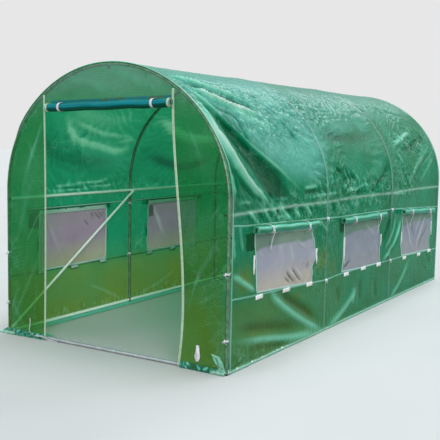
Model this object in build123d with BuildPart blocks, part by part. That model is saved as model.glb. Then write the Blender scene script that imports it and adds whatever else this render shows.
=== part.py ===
from build123d import *
import math
import os

os.makedirs("parts", exist_ok=True)

# A walk-in polytunnel greenhouse: four arches of steel tube, long rails and ground bars,
# and a reinforced film cover with netted side windows and a roll-up zip door in front.
# X runs across with the right side positive, Y runs from the front to the rear, Z is up.
# The origin is on the ground, in the middle of the overall width and length.

# Frame
tunnel_width = 2000
bay_length = 1500
bay_count = 3
leg_height = 1110
haunch_radius = 900
crown_angle = 90
tube_diameter = 25
rail_diameter = 22
brace_diameter = 20
tube_sides = 16
side_rail_drop = 60
brace_foot_height = 45
foot_height = 12
plug_length = 8

# Cover
sheet = 3
seat_gap = 0.3
ground_flap_width = 125
foot_notch_clearance = 1

# Side seams below the tops of the legs, with the sag of the right side towards the rear
left_seam_drop = 160
left_strip_height = 515
left_droop = 0
right_seam_drop = 135
right_strip_height = 490
right_droop = 138

# Windows in the side walls
window_width = 870
window_head = 45
window_sill = 12
left_window_shift = -10
right_window_shift = 35
net_lap = 10
net_thickness = 2

# Doorway in the front wall
left_zip_x = -595
right_zip_foot = (618, 0)
right_zip_knee = (648, 560)
right_zip_waist = (600, 1126)
right_zip_top_x = 545
right_zip_top_drop = 151
zip_width = 18
door_head_drop = 316

# Rolled sheets and what holds them
door_roll_radius = 34
door_roll_inset = 53
door_roll_width = 1132
door_roll_left_rise = 3
door_roll_right_rise = 31
door_tail = 60
window_roll_radius = 27
window_roll_length = 970
window_roll_drop = 48
window_tail = 38
roll_core_radius = 11
roll_wind_gap = 4.4
tie_width = 20
tie_thickness = 2
door_tie_left_inset = 127
door_tie_right_inset = 180
window_tie_inset = 195

# Hook and loop fastenings beside and below the windows
tab_width = 50
tab_height = 30
tab_thickness = 2
tab_drop = 18
strip_width = 12
strip_height = 120
strip_rise = 200
strip_gap = 12

# Worked out from the sizes above
half_width = tunnel_width / 2
tube_radius = tube_diameter / 2
rail_radius = rail_diameter / 2
brace_radius = brace_diameter / 2
haunch_centre_x = half_width - haunch_radius
haunch_angle = 90 - crown_angle / 2
crown_offset = haunch_centre_x / math.sin(math.radians(crown_angle / 2))
crown_centre_z = leg_height - haunch_centre_x / math.tan(math.radians(crown_angle / 2))
crown_radius = haunch_radius + crown_offset
crown_top = crown_centre_z + crown_radius
door_head = crown_top - door_head_drop
right_zip_top = (right_zip_top_x, crown_top - right_zip_top_drop)
side_rail_height = leg_height - side_rail_drop
leg_x = half_width - tube_radius
frame_length = bay_length * bay_count
wall_in = half_width + seat_gap
wall_out = wall_in + sheet
end_reach = tube_radius + seat_gap
front_reach = end_reach + sheet + seat_gap + 2 * door_roll_radius + seat_gap + tie_thickness
rear_reach = end_reach + sheet
front_y = (front_reach - rear_reach - frame_length) / 2
rear_y = front_y + frame_length
arch_places = [front_y + bay_length * i for i in range(bay_count + 1)]
cover_front = front_y - end_reach - sheet
cover_rear = rear_y + end_reach + sheet
cover_length = cover_rear - cover_front
ground_bar_z = sheet + seat_gap + tube_radius
leg_clearance = tube_diameter + 2 * seat_gap
side_rail_x = leg_x - tube_radius - seat_gap - rail_radius
ridge_rail_z = crown_top - tube_diameter - seat_gap - rail_radius
half_pitch = (sheet + roll_wind_gap) / 2

sides = {"left": -1, "right": 1}
top_seams = {"left": leg_height - left_seam_drop, "right": leg_height - right_seam_drop}
bottom_seams = {
    "left": top_seams["left"] - left_strip_height,
    "right": top_seams["right"] - right_strip_height,
}
droops = {"left": left_droop, "right": right_droop}
window_shifts = {"left": left_window_shift, "right": right_window_shift}


def save(piece, name):
    piece.part.label = name
    export_step(piece.part, f"parts/{name}.step")


def cross_plane(y):
    """A plane across the tunnel at y: its x is X, its y is Z and it looks to the front."""
    return Plane.XZ.offset(-y)


def haunch_arc(side, radius):
    start = 0 if side > 0 else 180
    return CenterArc((side * haunch_centre_x, leg_height), radius, start, side * haunch_angle)


def crown_arc(radius):
    return CenterArc((0, crown_centre_z), radius, 90 - crown_angle / 2, crown_angle)


def arch_outline():
    """The whole end of the tunnel, out to the outer side of the arch tubes."""
    with BuildLine() as outline:
        right = haunch_arc(1, haunch_radius)
        crown_arc(crown_radius)
        left = haunch_arc(-1, haunch_radius)
        Polyline(left @ 0, (-half_width, 0), (half_width, 0), right @ 0)
    return outline.edges()


def seam_height(height, side_name, y):
    """The height of a side seam at y, with the sag of its side."""
    return height - droops[side_name] * (y - front_y) / frame_length


def wall_quad(side_name, low, high, y_start, y_end, mode=Mode.ADD):
    """A stretch of side wall whose lower and upper edges follow the seams."""
    corners = [
        (y_start, seam_height(low, side_name, y_start)),
        (y_end, seam_height(low, side_name, y_end)),
        (y_end, seam_height(high, side_name, y_end)),
        (y_start, seam_height(high, side_name, y_start)),
    ]
    Polygon(*corners, align=None, mode=mode)


def window_centres(side_name):
    middle_of_first = front_y + bay_length / 2 + window_shifts[side_name]
    return [middle_of_first + bay_length * i for i in range(bay_count)]


# Arches: straight legs, and a three-centred bow on top of them, swept with few faces
arch_names = ["front", "second", "third", "rear"]
for arch_name, y in zip(arch_names, arch_places):
    for side_name, side in sides.items():
        with BuildPart() as leg:
            with BuildSketch(Plane.XY.offset(foot_height)):
                with Locations((side * leg_x, y)):
                    Circle(tube_radius)
            extrude(amount=leg_height - foot_height)
        save(leg, f"{arch_name}_{side_name}_leg")

    with BuildPart() as bow:
        with BuildLine(cross_plane(y)):
            right_bend = haunch_arc(1, haunch_radius - tube_radius)
            crown_arc(crown_radius - tube_radius)
            haunch_arc(-1, haunch_radius - tube_radius)
        with BuildSketch(Plane.XY.offset(leg_height)):
            with Locations((leg_x, y)):
                RegularPolygon(tube_radius, tube_sides)
        sweep()
    save(bow, f"{arch_name}_bow")

# Feet: a plastic plug closes the lower end of each leg and stands on the ground
with BuildPart() as feet:
    with BuildSketch():
        with Locations([(side * leg_x, y) for side in sides.values() for y in arch_places]):
            Circle(tube_radius)
    extrude(amount=foot_height)
save(feet, "leg_feet")

# Ground bars: each one runs from leg to leg, square cut just clear of the tubes
for side_name, side in sides.items():
    with BuildPart() as ground_rail:
        with BuildSketch(cross_plane(front_y)):
            with Locations((side * leg_x, ground_bar_z)):
                Circle(tube_radius)
        extrude(amount=-frame_length)
        with BuildSketch():
            with Locations([(side * leg_x, y) for y in arch_places]):
                Rectangle(leg_clearance, leg_clearance)
        extrude(amount=2 * ground_bar_z, mode=Mode.SUBTRACT)
    save(ground_rail, f"{side_name}_ground_rail")

for end_name, y in {"front": front_y, "rear": rear_y}.items():
    with BuildPart() as ground_bar:
        with BuildSketch(Plane.YZ.offset(-leg_x)):
            with Locations((y, ground_bar_z)):
                Circle(tube_radius)
        extrude(amount=2 * leg_x)
        with BuildSketch():
            with Locations([(side * leg_x, y) for side in sides.values()]):
                Rectangle(leg_clearance, leg_clearance)
        extrude(amount=2 * ground_bar_z, mode=Mode.SUBTRACT)
    save(ground_bar, f"{end_name}_ground_bar")

# Long rails inside the arches, with a plug in each end
rail_places = {
    "left_side_rail": (-side_rail_x, side_rail_height),
    "right_side_rail": (side_rail_x, side_rail_height),
    "ridge_rail": (0, ridge_rail_z),
}
rail_front = front_y - tube_radius
rail_length = frame_length + tube_diameter
for rail_name, place in rail_places.items():
    with BuildPart() as rail:
        with BuildSketch(cross_plane(rail_front + plug_length)):
            with Locations(place):
                Circle(rail_radius)
        extrude(amount=-(rail_length - 2 * plug_length))
    save(rail, rail_name)

with BuildPart() as plugs:
    with BuildSketch(cross_plane(rail_front)):
        with Locations(*rail_places.values()):
            Circle(rail_radius)
    extrude(amount=-plug_length)
    with BuildSketch(cross_plane(rail_front + rail_length - plug_length)):
        with Locations(*rail_places.values()):
            Circle(rail_radius)
    extrude(amount=-plug_length)
save(plugs, "rail_end_plugs")

# Braces: each one rises from an end leg's foot to the side rail at the next arch
brace_foot_x = leg_x - tube_radius - seat_gap - brace_radius
brace_head_x = side_rail_x - rail_radius - seat_gap - brace_radius
brace_ends = {
    "left_front_brace": (-1, arch_places[0], arch_places[1]),
    "right_rear_brace": (1, arch_places[-1], arch_places[-2]),
}
for brace_name, (side, foot_y, head_y) in brace_ends.items():
    foot = Vector(side * brace_foot_x, foot_y, brace_foot_height)
    head = Vector(side * brace_head_x, head_y, side_rail_height)
    with BuildPart() as brace:
        with BuildSketch(Plane(origin=foot, z_dir=head - foot)):
            Circle(brace_radius)
        extrude(amount=(head - foot).length)
    save(brace, brace_name)

# Roof: the crown, and on each side the haunch with the wall above the top seam
with BuildPart() as crown:
    with BuildSketch(cross_plane(cover_front)):
        with BuildLine():
            outer = crown_arc(crown_radius + seat_gap + sheet)
            inner = crown_arc(crown_radius + seat_gap)
            Line(outer @ 0, inner @ 0)
            Line(outer @ 1, inner @ 1)
        make_face()
    extrude(amount=-cover_length)
save(crown, "crown_sheet")

for side_name, side in sides.items():
    seam_slope = droops[side_name] / frame_length
    seam_plane = Plane(origin=(0, front_y, top_seams[side_name]), z_dir=(0, seam_slope, 1))
    lowest = seam_height(top_seams[side_name], side_name, cover_rear) - sheet
    with BuildPart() as roof_side:
        with BuildSketch(cross_plane(cover_front)):
            with BuildLine():
                outer = haunch_arc(side, haunch_radius + seat_gap + sheet)
                inner = haunch_arc(side, haunch_radius + seat_gap)
                Line(outer @ 1, inner @ 1)
                Polyline(outer @ 0, (side * wall_out, lowest), (side * wall_in, lowest), inner @ 0)
            make_face()
        extrude(amount=-cover_length)
        split(bisect_by=seam_plane, keep=Keep.TOP)
    save(roof_side, f"{side_name}_roof_sheet")

# Side walls below the top seam: the strip with the windows, the lower strip and the nets
for side_name, side in sides.items():
    top = top_seams[side_name]
    bottom = bottom_seams[side_name]
    window_spans = [
        (centre - window_width / 2, centre + window_width / 2) for centre in window_centres(side_name)
    ]
    with BuildPart() as window_strip:
        with BuildSketch(Plane.YZ.offset(side * wall_in)):
            wall_quad(side_name, bottom, top, cover_front, cover_rear)
            for start, end in window_spans:
                wall_quad(
                    side_name, bottom + window_sill, top - window_head, start, end, Mode.SUBTRACT
                )
        extrude(amount=side * sheet)
    save(window_strip, f"{side_name}_window_strip")

    with BuildPart() as nets:
        with BuildSketch(Plane.YZ.offset(side * wall_in)):
            for start, end in window_spans:
                wall_quad(
                    side_name,
                    bottom + window_sill - net_lap,
                    top - window_head + net_lap,
                    start - net_lap,
                    end + net_lap,
                )
        extrude(amount=-side * net_thickness)
    save(nets, f"{side_name}_window_nets")

    with BuildPart() as lower_sheet:
        with BuildSketch(Plane.YZ.offset(side * wall_in)):
            Polygon(
                (cover_front, 0),
                (cover_rear, 0),
                (cover_rear, seam_height(bottom, side_name, cover_rear)),
                (cover_front, seam_height(bottom, side_name, cover_front)),
                align=None,
            )
        extrude(amount=side * sheet)
    save(lower_sheet, f"{side_name}_lower_sheet")

# End walls: the closed rear, and the front on both sides of and above the doorway
door_high = crown_top + tube_diameter


def right_door_edge(shift):
    """The zip edge on the right of the doorway, which hangs bowed out to the right."""
    places = [right_zip_foot, right_zip_knee, right_zip_waist, right_zip_top]
    return Spline(*[(x + shift, z) for x, z in places])


def doorway_outline(grow):
    """Everything between the two zips, from the ground to above the roof."""
    left = left_zip_x - grow
    with BuildLine() as outline:
        edge = right_door_edge(grow)
        Polyline(edge @ 1, (right_zip_top[0] + grow, door_high), (left, door_high), (left, 0), edge @ 0)
    return outline.edges()


front_plane = cross_plane(front_y - end_reach)
with BuildPart() as rear_panel:
    with BuildSketch(cross_plane(rear_y + end_reach)):
        make_face(arch_outline())
    extrude(amount=-sheet)
save(rear_panel, "rear_panel")

with BuildPart() as left_panel:
    with BuildSketch(front_plane):
        make_face(arch_outline())
        with Locations((left_zip_x - zip_width / 2, 0)):
            Rectangle(half_width, door_high, align=(Align.MAX, Align.MIN), mode=Mode.INTERSECT)
    extrude(amount=sheet)
save(left_panel, "front_left_panel")

with BuildPart() as right_panel:
    with BuildSketch(front_plane):
        make_face(arch_outline())
        with Locations((0, 0)):
            Rectangle(half_width, door_high, align=(Align.MIN, Align.MIN), mode=Mode.INTERSECT)
        make_face(doorway_outline(zip_width / 2), mode=Mode.SUBTRACT)
    extrude(amount=sheet)
save(right_panel, "front_right_panel")

with BuildPart() as top_panel:
    with BuildSketch(front_plane):
        make_face(arch_outline())
        make_face(doorway_outline(-zip_width / 2), mode=Mode.INTERSECT)
        with Locations((0, door_head)):
            Rectangle(
                tunnel_width, door_high, align=(Align.CENTER, Align.MIN), mode=Mode.INTERSECT
            )
    extrude(amount=sheet)
save(top_panel, "front_top_panel")

# Ground flaps: the lower edge of the cover, folded inwards flat on the ground
flap_edge = wall_in - ground_flap_width
inside_front = front_y - end_reach
inside_rear = rear_y + end_reach
notch = tube_diameter + 2 * foot_notch_clearance
foot_places = [(side * leg_x, y) for side in sides.values() for y in arch_places]
for side_name, side in sides.items():
    with BuildPart() as side_flap:
        with BuildSketch():
            Polygon(
                (side * flap_edge, inside_front),
                (side * wall_in, inside_front),
                (side * wall_in, inside_rear),
                (side * flap_edge, inside_rear),
                align=None,
            )
            with Locations(*foot_places):
                Rectangle(notch, notch, mode=Mode.SUBTRACT)
        extrude(amount=sheet)
    save(side_flap, f"{side_name}_ground_flap")

with BuildPart() as end_flaps:
    with BuildSketch():
        with Locations((-flap_edge, inside_front)):
            Rectangle(left_zip_x + flap_edge, ground_flap_width, align=(Align.MIN, Align.MIN))
        with Locations((flap_edge, inside_front)):
            Rectangle(flap_edge - right_zip_foot[0], ground_flap_width, align=(Align.MAX, Align.MIN))
        with Locations((0, inside_rear)):
            Rectangle(2 * flap_edge, ground_flap_width, align=(Align.CENTER, Align.MAX))
    extrude(amount=sheet)
save(end_flaps, "end_ground_flaps")

# Zips: they fill the front between the side panels and what hangs in the doorway
with BuildPart() as zips:
    with BuildSketch(front_plane):
        make_face(arch_outline())
        make_face(doorway_outline(zip_width / 2), mode=Mode.INTERSECT)
        make_face(doorway_outline(-zip_width / 2), mode=Mode.SUBTRACT)
    extrude(amount=sheet)
save(zips, "door_zips")


def roll_outline(radius, tail):
    """A rolled-up sheet: half circles wind inwards, and the outer end runs up the wall."""
    half_turns = int((radius - roll_core_radius) / half_pitch)
    with BuildLine() as outline:
        for turn in range(half_turns):
            centre_x = -half_pitch * (turn % 2)
            outer_radius = radius - turn * half_pitch
            start = 180 * (turn % 2)
            outer = CenterArc((centre_x, 0), outer_radius, start, -180)
            inner = CenterArc((centre_x, 0), outer_radius - sheet, start, -180)
        Line(outer @ 1, inner @ 1)
        Polyline((radius, 0), (radius, tail), (radius - sheet, tail), (radius - sheet, 0))
    return outline.edges()


def tie_outline(radius):
    """A strap from the tail over and under a roll and back to the wall."""
    inside = radius + seat_gap
    outside = inside + tie_thickness
    tail_face = radius - sheet - seat_gap
    with BuildLine() as outline:
        CenterArc((0, 0), outside, 90, 180)
        CenterArc((0, 0), inside, 90, 180)
        Polyline((0, outside), (tail_face, outside), (tail_face, inside), (0, inside))
        Polyline((0, -outside), (radius, -outside), (radius, -inside), (0, -inside))
    return outline.edges()


# Door roll: hangs in front of the top panel, a little higher on the right
door_roll_y = cover_front - seat_gap - door_roll_radius
door_roll_left = left_zip_x + door_roll_inset
door_roll_right = door_roll_left + door_roll_width
door_roll_start = Vector(door_roll_left, door_roll_y, door_head + door_roll_left_rise)
door_roll_end = Vector(door_roll_right, door_roll_y, door_head + door_roll_right_rise)
door_roll_run = door_roll_end - door_roll_start
door_roll_plane = Plane(origin=door_roll_start, x_dir=(0, 1, 0), z_dir=door_roll_run)
with BuildPart() as door_roll:
    with BuildSketch(door_roll_plane):
        make_face(roll_outline(door_roll_radius, door_tail))
    extrude(amount=door_roll_run.length)
save(door_roll, "door_roll")

with BuildPart() as door_ties:
    for inset in (door_tie_left_inset, door_roll_run.length - door_tie_right_inset):
        with BuildSketch(door_roll_plane.offset(inset - tie_width / 2)):
            make_face(tie_outline(door_roll_radius))
        extrude(amount=tie_width)
save(door_ties, "door_roll_ties")


def window_roll_plane(side_name, centre):
    """The start of a window roll, looking along it, with its x towards the wall."""
    side = sides[side_name]
    start_y = centre - side * window_roll_length / 2
    axis_x = side * (wall_out + seat_gap + window_roll_radius)
    axis_z = seam_height(top_seams[side_name] - window_roll_drop, side_name, start_y)
    slope = droops[side_name] / frame_length
    return Plane(
        origin=(axis_x, start_y, axis_z), x_dir=(-side, 0, 0), z_dir=(0, side, -side * slope)
    )


# Window flaps, each one rolled up over its net and held by two straps
for side_name in sides:
    with BuildPart() as window_rolls:
        for centre in window_centres(side_name):
            with BuildSketch(window_roll_plane(side_name, centre)):
                make_face(roll_outline(window_roll_radius, window_tail))
            extrude(amount=window_roll_length)
    save(window_rolls, f"{side_name}_window_rolls")

with BuildPart() as window_ties:
    for side_name in sides:
        for centre in window_centres(side_name):
            for inset in (window_tie_inset, window_roll_length - window_tie_inset):
                tie_plane = window_roll_plane(side_name, centre).offset(inset - tie_width / 2)
                with BuildSketch(tie_plane):
                    make_face(tie_outline(window_roll_radius))
                extrude(amount=tie_width)
save(window_ties, "window_roll_ties")

# Hook and loop: three tabs below each window, and a strip on each side of it
tab_reach = (window_width - tab_width) / 2
strip_reach = window_width / 2 + strip_gap
with BuildPart() as tabs:
    for side_name, side in sides.items():
        with BuildSketch(Plane.YZ.offset(side * wall_out)):
            for centre in window_centres(side_name):
                for tab_y in (centre - tab_reach, centre, centre + tab_reach):
                    tab_z = seam_height(bottom_seams[side_name] - tab_drop, side_name, tab_y)
                    with Locations((tab_y, tab_z)):
                        Rectangle(tab_width, tab_height)
                for strip_y in (centre - strip_reach, centre + strip_reach):
                    strip_z = seam_height(bottom_seams[side_name] + strip_rise, side_name, strip_y)
                    with Locations((strip_y, strip_z)):
                        Rectangle(strip_width, strip_height)
        extrude(amount=side * tab_thickness)
save(tabs, "window_tabs")
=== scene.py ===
import math

import bpy
import numpy as np
from mathutils import Matrix, Vector


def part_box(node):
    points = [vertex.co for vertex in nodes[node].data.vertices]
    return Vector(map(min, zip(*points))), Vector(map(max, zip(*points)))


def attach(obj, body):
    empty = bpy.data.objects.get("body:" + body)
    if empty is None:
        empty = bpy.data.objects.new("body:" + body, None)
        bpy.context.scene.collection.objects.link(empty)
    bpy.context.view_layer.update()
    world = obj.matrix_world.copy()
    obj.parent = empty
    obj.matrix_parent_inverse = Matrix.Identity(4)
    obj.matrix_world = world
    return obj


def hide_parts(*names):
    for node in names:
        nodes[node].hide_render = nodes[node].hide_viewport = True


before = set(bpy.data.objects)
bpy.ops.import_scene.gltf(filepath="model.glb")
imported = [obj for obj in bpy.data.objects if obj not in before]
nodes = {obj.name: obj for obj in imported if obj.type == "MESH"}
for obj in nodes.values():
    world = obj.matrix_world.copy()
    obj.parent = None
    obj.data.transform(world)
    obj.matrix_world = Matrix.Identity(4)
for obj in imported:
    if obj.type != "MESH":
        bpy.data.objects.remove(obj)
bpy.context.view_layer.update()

sides = {1: "right", -1: "left"}


# Sizes of the frame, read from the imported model
def middle(node, axis):
    low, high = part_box(node)
    return (low[axis] + high[axis]) / 2


def half_thick(node):
    low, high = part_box(node)
    return (high.x - low.x) / 2


arch_names = ["front", "second", "third", "rear"]
arch_places = [middle(f"{name}_bow", 1) for name in arch_names]
front_y, rear_y = arch_places[0], arch_places[-1]
bay_length = arch_places[1] - arch_places[0]
half_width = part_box("front_bow")[1].x
crown_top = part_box("front_bow")[1].z
leg_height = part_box("front_left_leg")[1].z
tube_radius = half_thick("front_left_leg")
leg_x = half_width - tube_radius
rail_radius = half_thick("ridge_rail")
side_rail_x = middle("right_side_rail", 0)
side_rail_z = middle("right_side_rail", 2)
ridge_rail_z = middle("ridge_rail", 2)
ground_rail_z = middle("right_ground_rail", 2)
cover_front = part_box("crown_sheet")[0].y
cover_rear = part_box("crown_sheet")[1].y

# The arch's outer line: a crown arc between two haunch arcs, each of them 45 degrees a side
quarter_turn = math.pi / 4
spread = math.sqrt(2) - 1
haunch_radius = (crown_top - leg_height - spread * half_width) / (1 - spread)
haunch_x = half_width - haunch_radius
crown_radius = haunch_radius + haunch_x * math.sqrt(2)
crown_centre = leg_height - haunch_x
crown_girth = crown_radius * quarter_turn
spring_girth = crown_girth + haunch_radius * quarter_turn
rail_girth = spring_girth + leg_height - side_rail_z

# The cover
film_gap = 0.0018  # from the arches' outer line to the film
hem_width = 0.013
arch_touch = 0.07  # from an arch to where the film hangs free of it
edge_pull = 0.034  # how far the front edge is drawn back down the walls
foot_clear = 0.0045
wall_x = 0.9  # further out, the cover is upright wall
# Width of the painted highlight where the film lies on a tube
contact_width = 0.010
# A fold this high shows its painted shade or highlight in full
full_relief, full_panel_relief = 0.013, 0.014  # heights of a fold that shows in full
film_steps = {"fine": 0.0115, "wall": 0.0135, "plain": 0.015, "coarse": 0.018}
gather_pitch, gather_height = 0.055, 0.008
wrinkle_pitch, wrinkle_height = 0.085, 0.0037
wrinkle_slopes = [0.62, -0.12, -0.34]  # of each bay, in radians

# Threads of the film and the net as (pitch, width), and the thickness of tapes and straps
film_threads, net_threads = (0.011, 0.0016), (0.0042, 0.0012)
strap_thickness = 0.0012

# Side seams as (distance from the front arch, height)
seams = {
    (1, "top"): [
        (0.0, 0.98), (0.22, 0.964), (1.29, 0.927), (1.83, 0.906), (3.02, 0.891), (4.48, 0.826),
    ],
    (1, "bottom"): [
        (0.04, 0.494), (0.3, 0.478), (1.5, 0.419), (1.85, 0.426), (3.35, 0.392), (4.34, 0.355),
    ],
    (-1, "top"): [(0.0, 0.952), (1.5, 0.949), (3.0, 0.951), (4.5, 0.95)],
    (-1, "bottom"): [(0.0, 0.437), (1.5, 0.434), (3.0, 0.437), (4.5, 0.435)],
}

# Corners of the three windows a side, front and rear of each, likewise
window_heads = {
    1: [
        (0.336, 0.905), (1.227, 0.862), (1.884, 0.862), (2.664, 0.85),
        (3.359, 0.832), (4.299, 0.795),
    ],
    -1: [
        (0.334, 0.905), (1.165, 0.905), (1.79, 0.905), (2.625, 0.905),
        (3.30, 0.905), (4.16, 0.905),
    ],
}
window_sills = {
    1: [
        (0.368, 0.494), (1.254, 0.438), (1.846, 0.442), (2.747, 0.396),
        (3.349, 0.404), (4.27, 0.37),
    ],
    -1: [
        (0.330, 0.446), (1.160, 0.450), (1.78, 0.448), (2.630, 0.447),
        (3.31, 0.447), (4.15, 0.446),
    ],
}

# How far the right windows' six upright edges bow, at shares of their height
window_edge_shares = [0.0, 0.2, 0.42, 0.58, 0.72, 1.0]
right_edge_bows = [
    [0.0, -0.004, 0.004, 0.0, 0.004, 0.0],
    [0.0, 0.035, 0.066, 0.052, 0.006, 0.0],
    [0.0, 0.004, 0.0, 0.006, 0.010, -0.006],
    [0.0, 0.004, 0.010, 0.002, -0.004, 0.0],
    [0.0, 0.0, -0.014, -0.026, -0.036, 0.010],
    [0.0, 0.012, 0.0, -0.010, -0.028, 0.0],
]

# Doorway, as (height, x) along each zip
left_zip_line = [(0.0, -0.602), (0.60, -0.593), (1.05, -0.591), (1.42, -0.594), (1.83, -0.602)]
right_zip_line = [(0.0, 0.618), (0.56, 0.649), (1.126, 0.601), (1.86, 0.549)]
zip_width = 0.018
half_zip = zip_width / 2
door_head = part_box("front_top_panel")[0].z

# Rolled sheets: the radius, the core's radius and the turns of each spiral
window_spiral = (0.027, 0.010, 3.6)
door_spiral = (0.031, 0.013, 4.4)
window_roll_length = 0.97
window_roll_drop = 0.030
window_roll_shifts = {1: 0.035, -1: -0.01}  # from the middle of its bay
window_tie_inset = 0.195
door_strap_places = (-0.415, 0.41)
tail_rows = 4


# Numbers and curves
def floats(*values):
    return [np.asarray(value, float) for value in values]


def lookup(table, place):
    """The value at a place of a table of (place, value) pairs."""
    places, values = zip(*table)
    return np.interp(place, places, values)


def bell(away, width):
    """1 where away is 0, fading out over the width."""
    return np.exp(-((away / width) ** 2))


def smooth_step(value):
    value = np.clip(value, 0, 1)
    return value * value * (3 - 2 * value)


def spaced(breaks, step):
    """Numbers from the first to the last break, through each break, about a step apart."""
    runs = [
        np.linspace(start, end, max(2, round((end - start) / step) + 1))[:-1]
        for start, end in zip(breaks[:-1], breaks[1:])
    ]
    return np.concatenate([*runs, [breaks[-1]]])


def smooth_path(points, count):
    """Points along a curve that passes through the given ones."""
    points = np.asarray(points, float)
    held = np.concatenate([[2 * points[0] - points[1]], points, [2 * points[-1] - points[-2]]])
    place = np.linspace(0, len(points) - 1, count)
    first = np.minimum(place.astype(int), len(points) - 2)
    t = (place - first)[:, None]
    a, b, c, d = (held[first + step] for step in range(4))
    bend, twist = 2 * a - 5 * b + 4 * c - d, 3 * b - a - 3 * c + d
    return 0.5 * (2 * b + (c - a) * t + bend * t**2 + twist * t**3)


def nearest_on(start, end, across, along):
    """How far places are from a straight line, and at which share of it they are nearest."""
    step = np.subtract(end, start)
    from_start = across - start[0], along - start[1]
    share = np.clip((from_start[0] * step[0] + from_start[1] * step[1]) / (step @ step), 0, 1)
    return np.hypot(from_start[0] - share * step[0], from_start[1] - share * step[1]), share


def straight_folds(across, along, folds):
    """The height of folds given as (across, along, across, along, width, depth)."""
    total = np.zeros_like(across)
    for *line, width, depth in folds:
        away, share = nearest_on(line[:2], line[2:], across, along)
        total += depth * (0.3 + 0.7 * np.sin(math.pi * share)) * bell(away, width)
    return total


# Noise from seeded lattices, the same in each run
def soft_noise(across, along, size, seed):
    lattice = np.random.default_rng(seed).random((64, 64))
    gx, gy = across / size + 100, along / size + 100
    ix, iy = np.floor(gx).astype(int), np.floor(gy).astype(int)
    fx, fy = smooth_step(gx - ix), smooth_step(gy - iy)
    corners = [[lattice[(ix + i) % 64, (iy + j) % 64] for j in (0, 1)] for i in (0, 1)]
    low = corners[0][0] * (1 - fx) + corners[1][0] * fx
    high = corners[0][1] * (1 - fx) + corners[1][1] * fx
    return 2 * (low * (1 - fy) + high * fy) - 1


def crumple(across, along, size, seed):
    """Sharp creases in several directions, as in crumpled film, from -1 to 1."""
    directions = np.random.default_rng(seed).random(4) * math.pi
    total = np.zeros_like(across)
    for index, angle in enumerate(directions):
        warp = 1.1 * soft_noise(across, along, 2.2 * size, seed + index + 1)
        turn = (across * math.cos(angle) + along * math.sin(angle)) / size + warp
        total += 2 * np.abs(2 * (turn - np.floor(turn + 0.5))) - 1
    return total / 4


# Meshes as (points, faces, uvs) of plain arrays, so that many can make one piece
def grid_faces(rows, columns, keep=None):
    first = np.arange(rows * columns).reshape(rows, columns)
    quads = np.stack([first[:-1, :-1], first[:-1, 1:], first[1:, 1:], first[1:, :-1]], -1)
    return quads[keep] if keep is not None else quads.reshape(-1, 4)


def metre_uvs(points):
    """UVs in metres along the middle row and the middle column of a grid."""
    rows, columns = points.shape[:2]
    along = np.linalg.norm(np.diff(points[rows // 2], axis=0), axis=1)
    down = np.linalg.norm(np.diff(points[:, columns // 2], axis=0), axis=1)
    across = np.concatenate([[0], np.cumsum(along)])
    drop = np.concatenate([[0], np.cumsum(down)])
    return np.stack(np.meshgrid(across, drop), -1)


def sheet_grid(points, keep=None, flip=False):
    """A mesh over a grid of points, or over the quads in keep."""
    rows, columns = points.shape[:2]
    faces = grid_faces(rows, columns, keep)
    if flip:
        faces = faces[:, ::-1]
    used, again = np.unique(faces, return_inverse=True)
    uvs = metre_uvs(points).reshape(-1, 2)
    return points.reshape(-1, 3)[used], again.reshape(-1, 4), uvs[used]


def slab(top, bottom):
    """A closed mesh between two grids of the same shape."""
    rows, columns = top.shape[:2]
    size = rows * columns
    upper = grid_faces(rows, columns)
    lower = upper[:, ::-1] + size
    index = np.arange(size).reshape(rows, columns)
    rim = np.concatenate([index[0], index[1:, -1], index[-1, -2::-1], index[-2:0:-1, 0]])
    after = np.roll(rim, -1)
    walls = np.stack([rim, rim + size, after + size, after], -1)
    uvs = metre_uvs(top).reshape(-1, 2)
    points = np.concatenate([top.reshape(-1, 3), bottom.reshape(-1, 3)])
    return points, np.concatenate([upper, lower, walls]), np.concatenate([uvs, uvs])


def joined(parts):
    points, faces, uvs, start = [], [], [], 0
    for part_points, part_faces, part_uvs in parts:
        points.append(part_points)
        faces.append(part_faces + start)
        uvs.append(part_uvs)
        start += len(part_points)
    return np.concatenate(points), np.concatenate(faces), np.concatenate(uvs)


def ribbon(path, across, out, width, thickness, crown=0.0):
    """A closed strap along a path: across is its width's direction and out its face's."""
    path, across, out = floats(path, across, out)
    across = np.broadcast_to(across, path.shape)
    out = np.broadcast_to(out, path.shape)
    places = np.array([-0.5, -0.25, 0.0, 0.25, 0.5])
    bow = crown * (1 - (2 * places) ** 2)
    under = path[None] + across[None] * (places * width)[:, None, None]
    under = under + out[None] * bow[:, None, None]
    return slab(under + out[None] * thickness, under)


def tail_ribbon(points, across, width):
    """A loose strap end along a few points."""
    path = smooth_path(points, 12)
    across = np.asarray(across, float)
    out = np.cross(np.gradient(path, axis=0), across)
    out /= np.linalg.norm(out, axis=1)[:, None]
    return ribbon(path, across, out, width, strap_thickness)


def small_knot(centre, out, along, size):
    """A pulled knot: a low rounded lump with a crease round its middle."""
    centre, out, along = floats(centre, out, along)
    third = np.cross(out, along)
    around, rise = np.linspace(0, 2 * math.pi, 15), np.linspace(-math.pi / 2, math.pi / 2, 9)
    turn, lift = np.meshgrid(around, rise)
    ring = np.cos(lift) * (1 - 0.3 * bell(lift, 0.25))
    points = (
        centre
        + along * (size * 0.75 * np.sin(lift))[..., None]
        + out * (size * 0.5 * ring * np.cos(turn))[..., None]
        + third * (size * 0.6 * ring * np.sin(turn))[..., None]
    )
    return sheet_grid(points)


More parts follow.
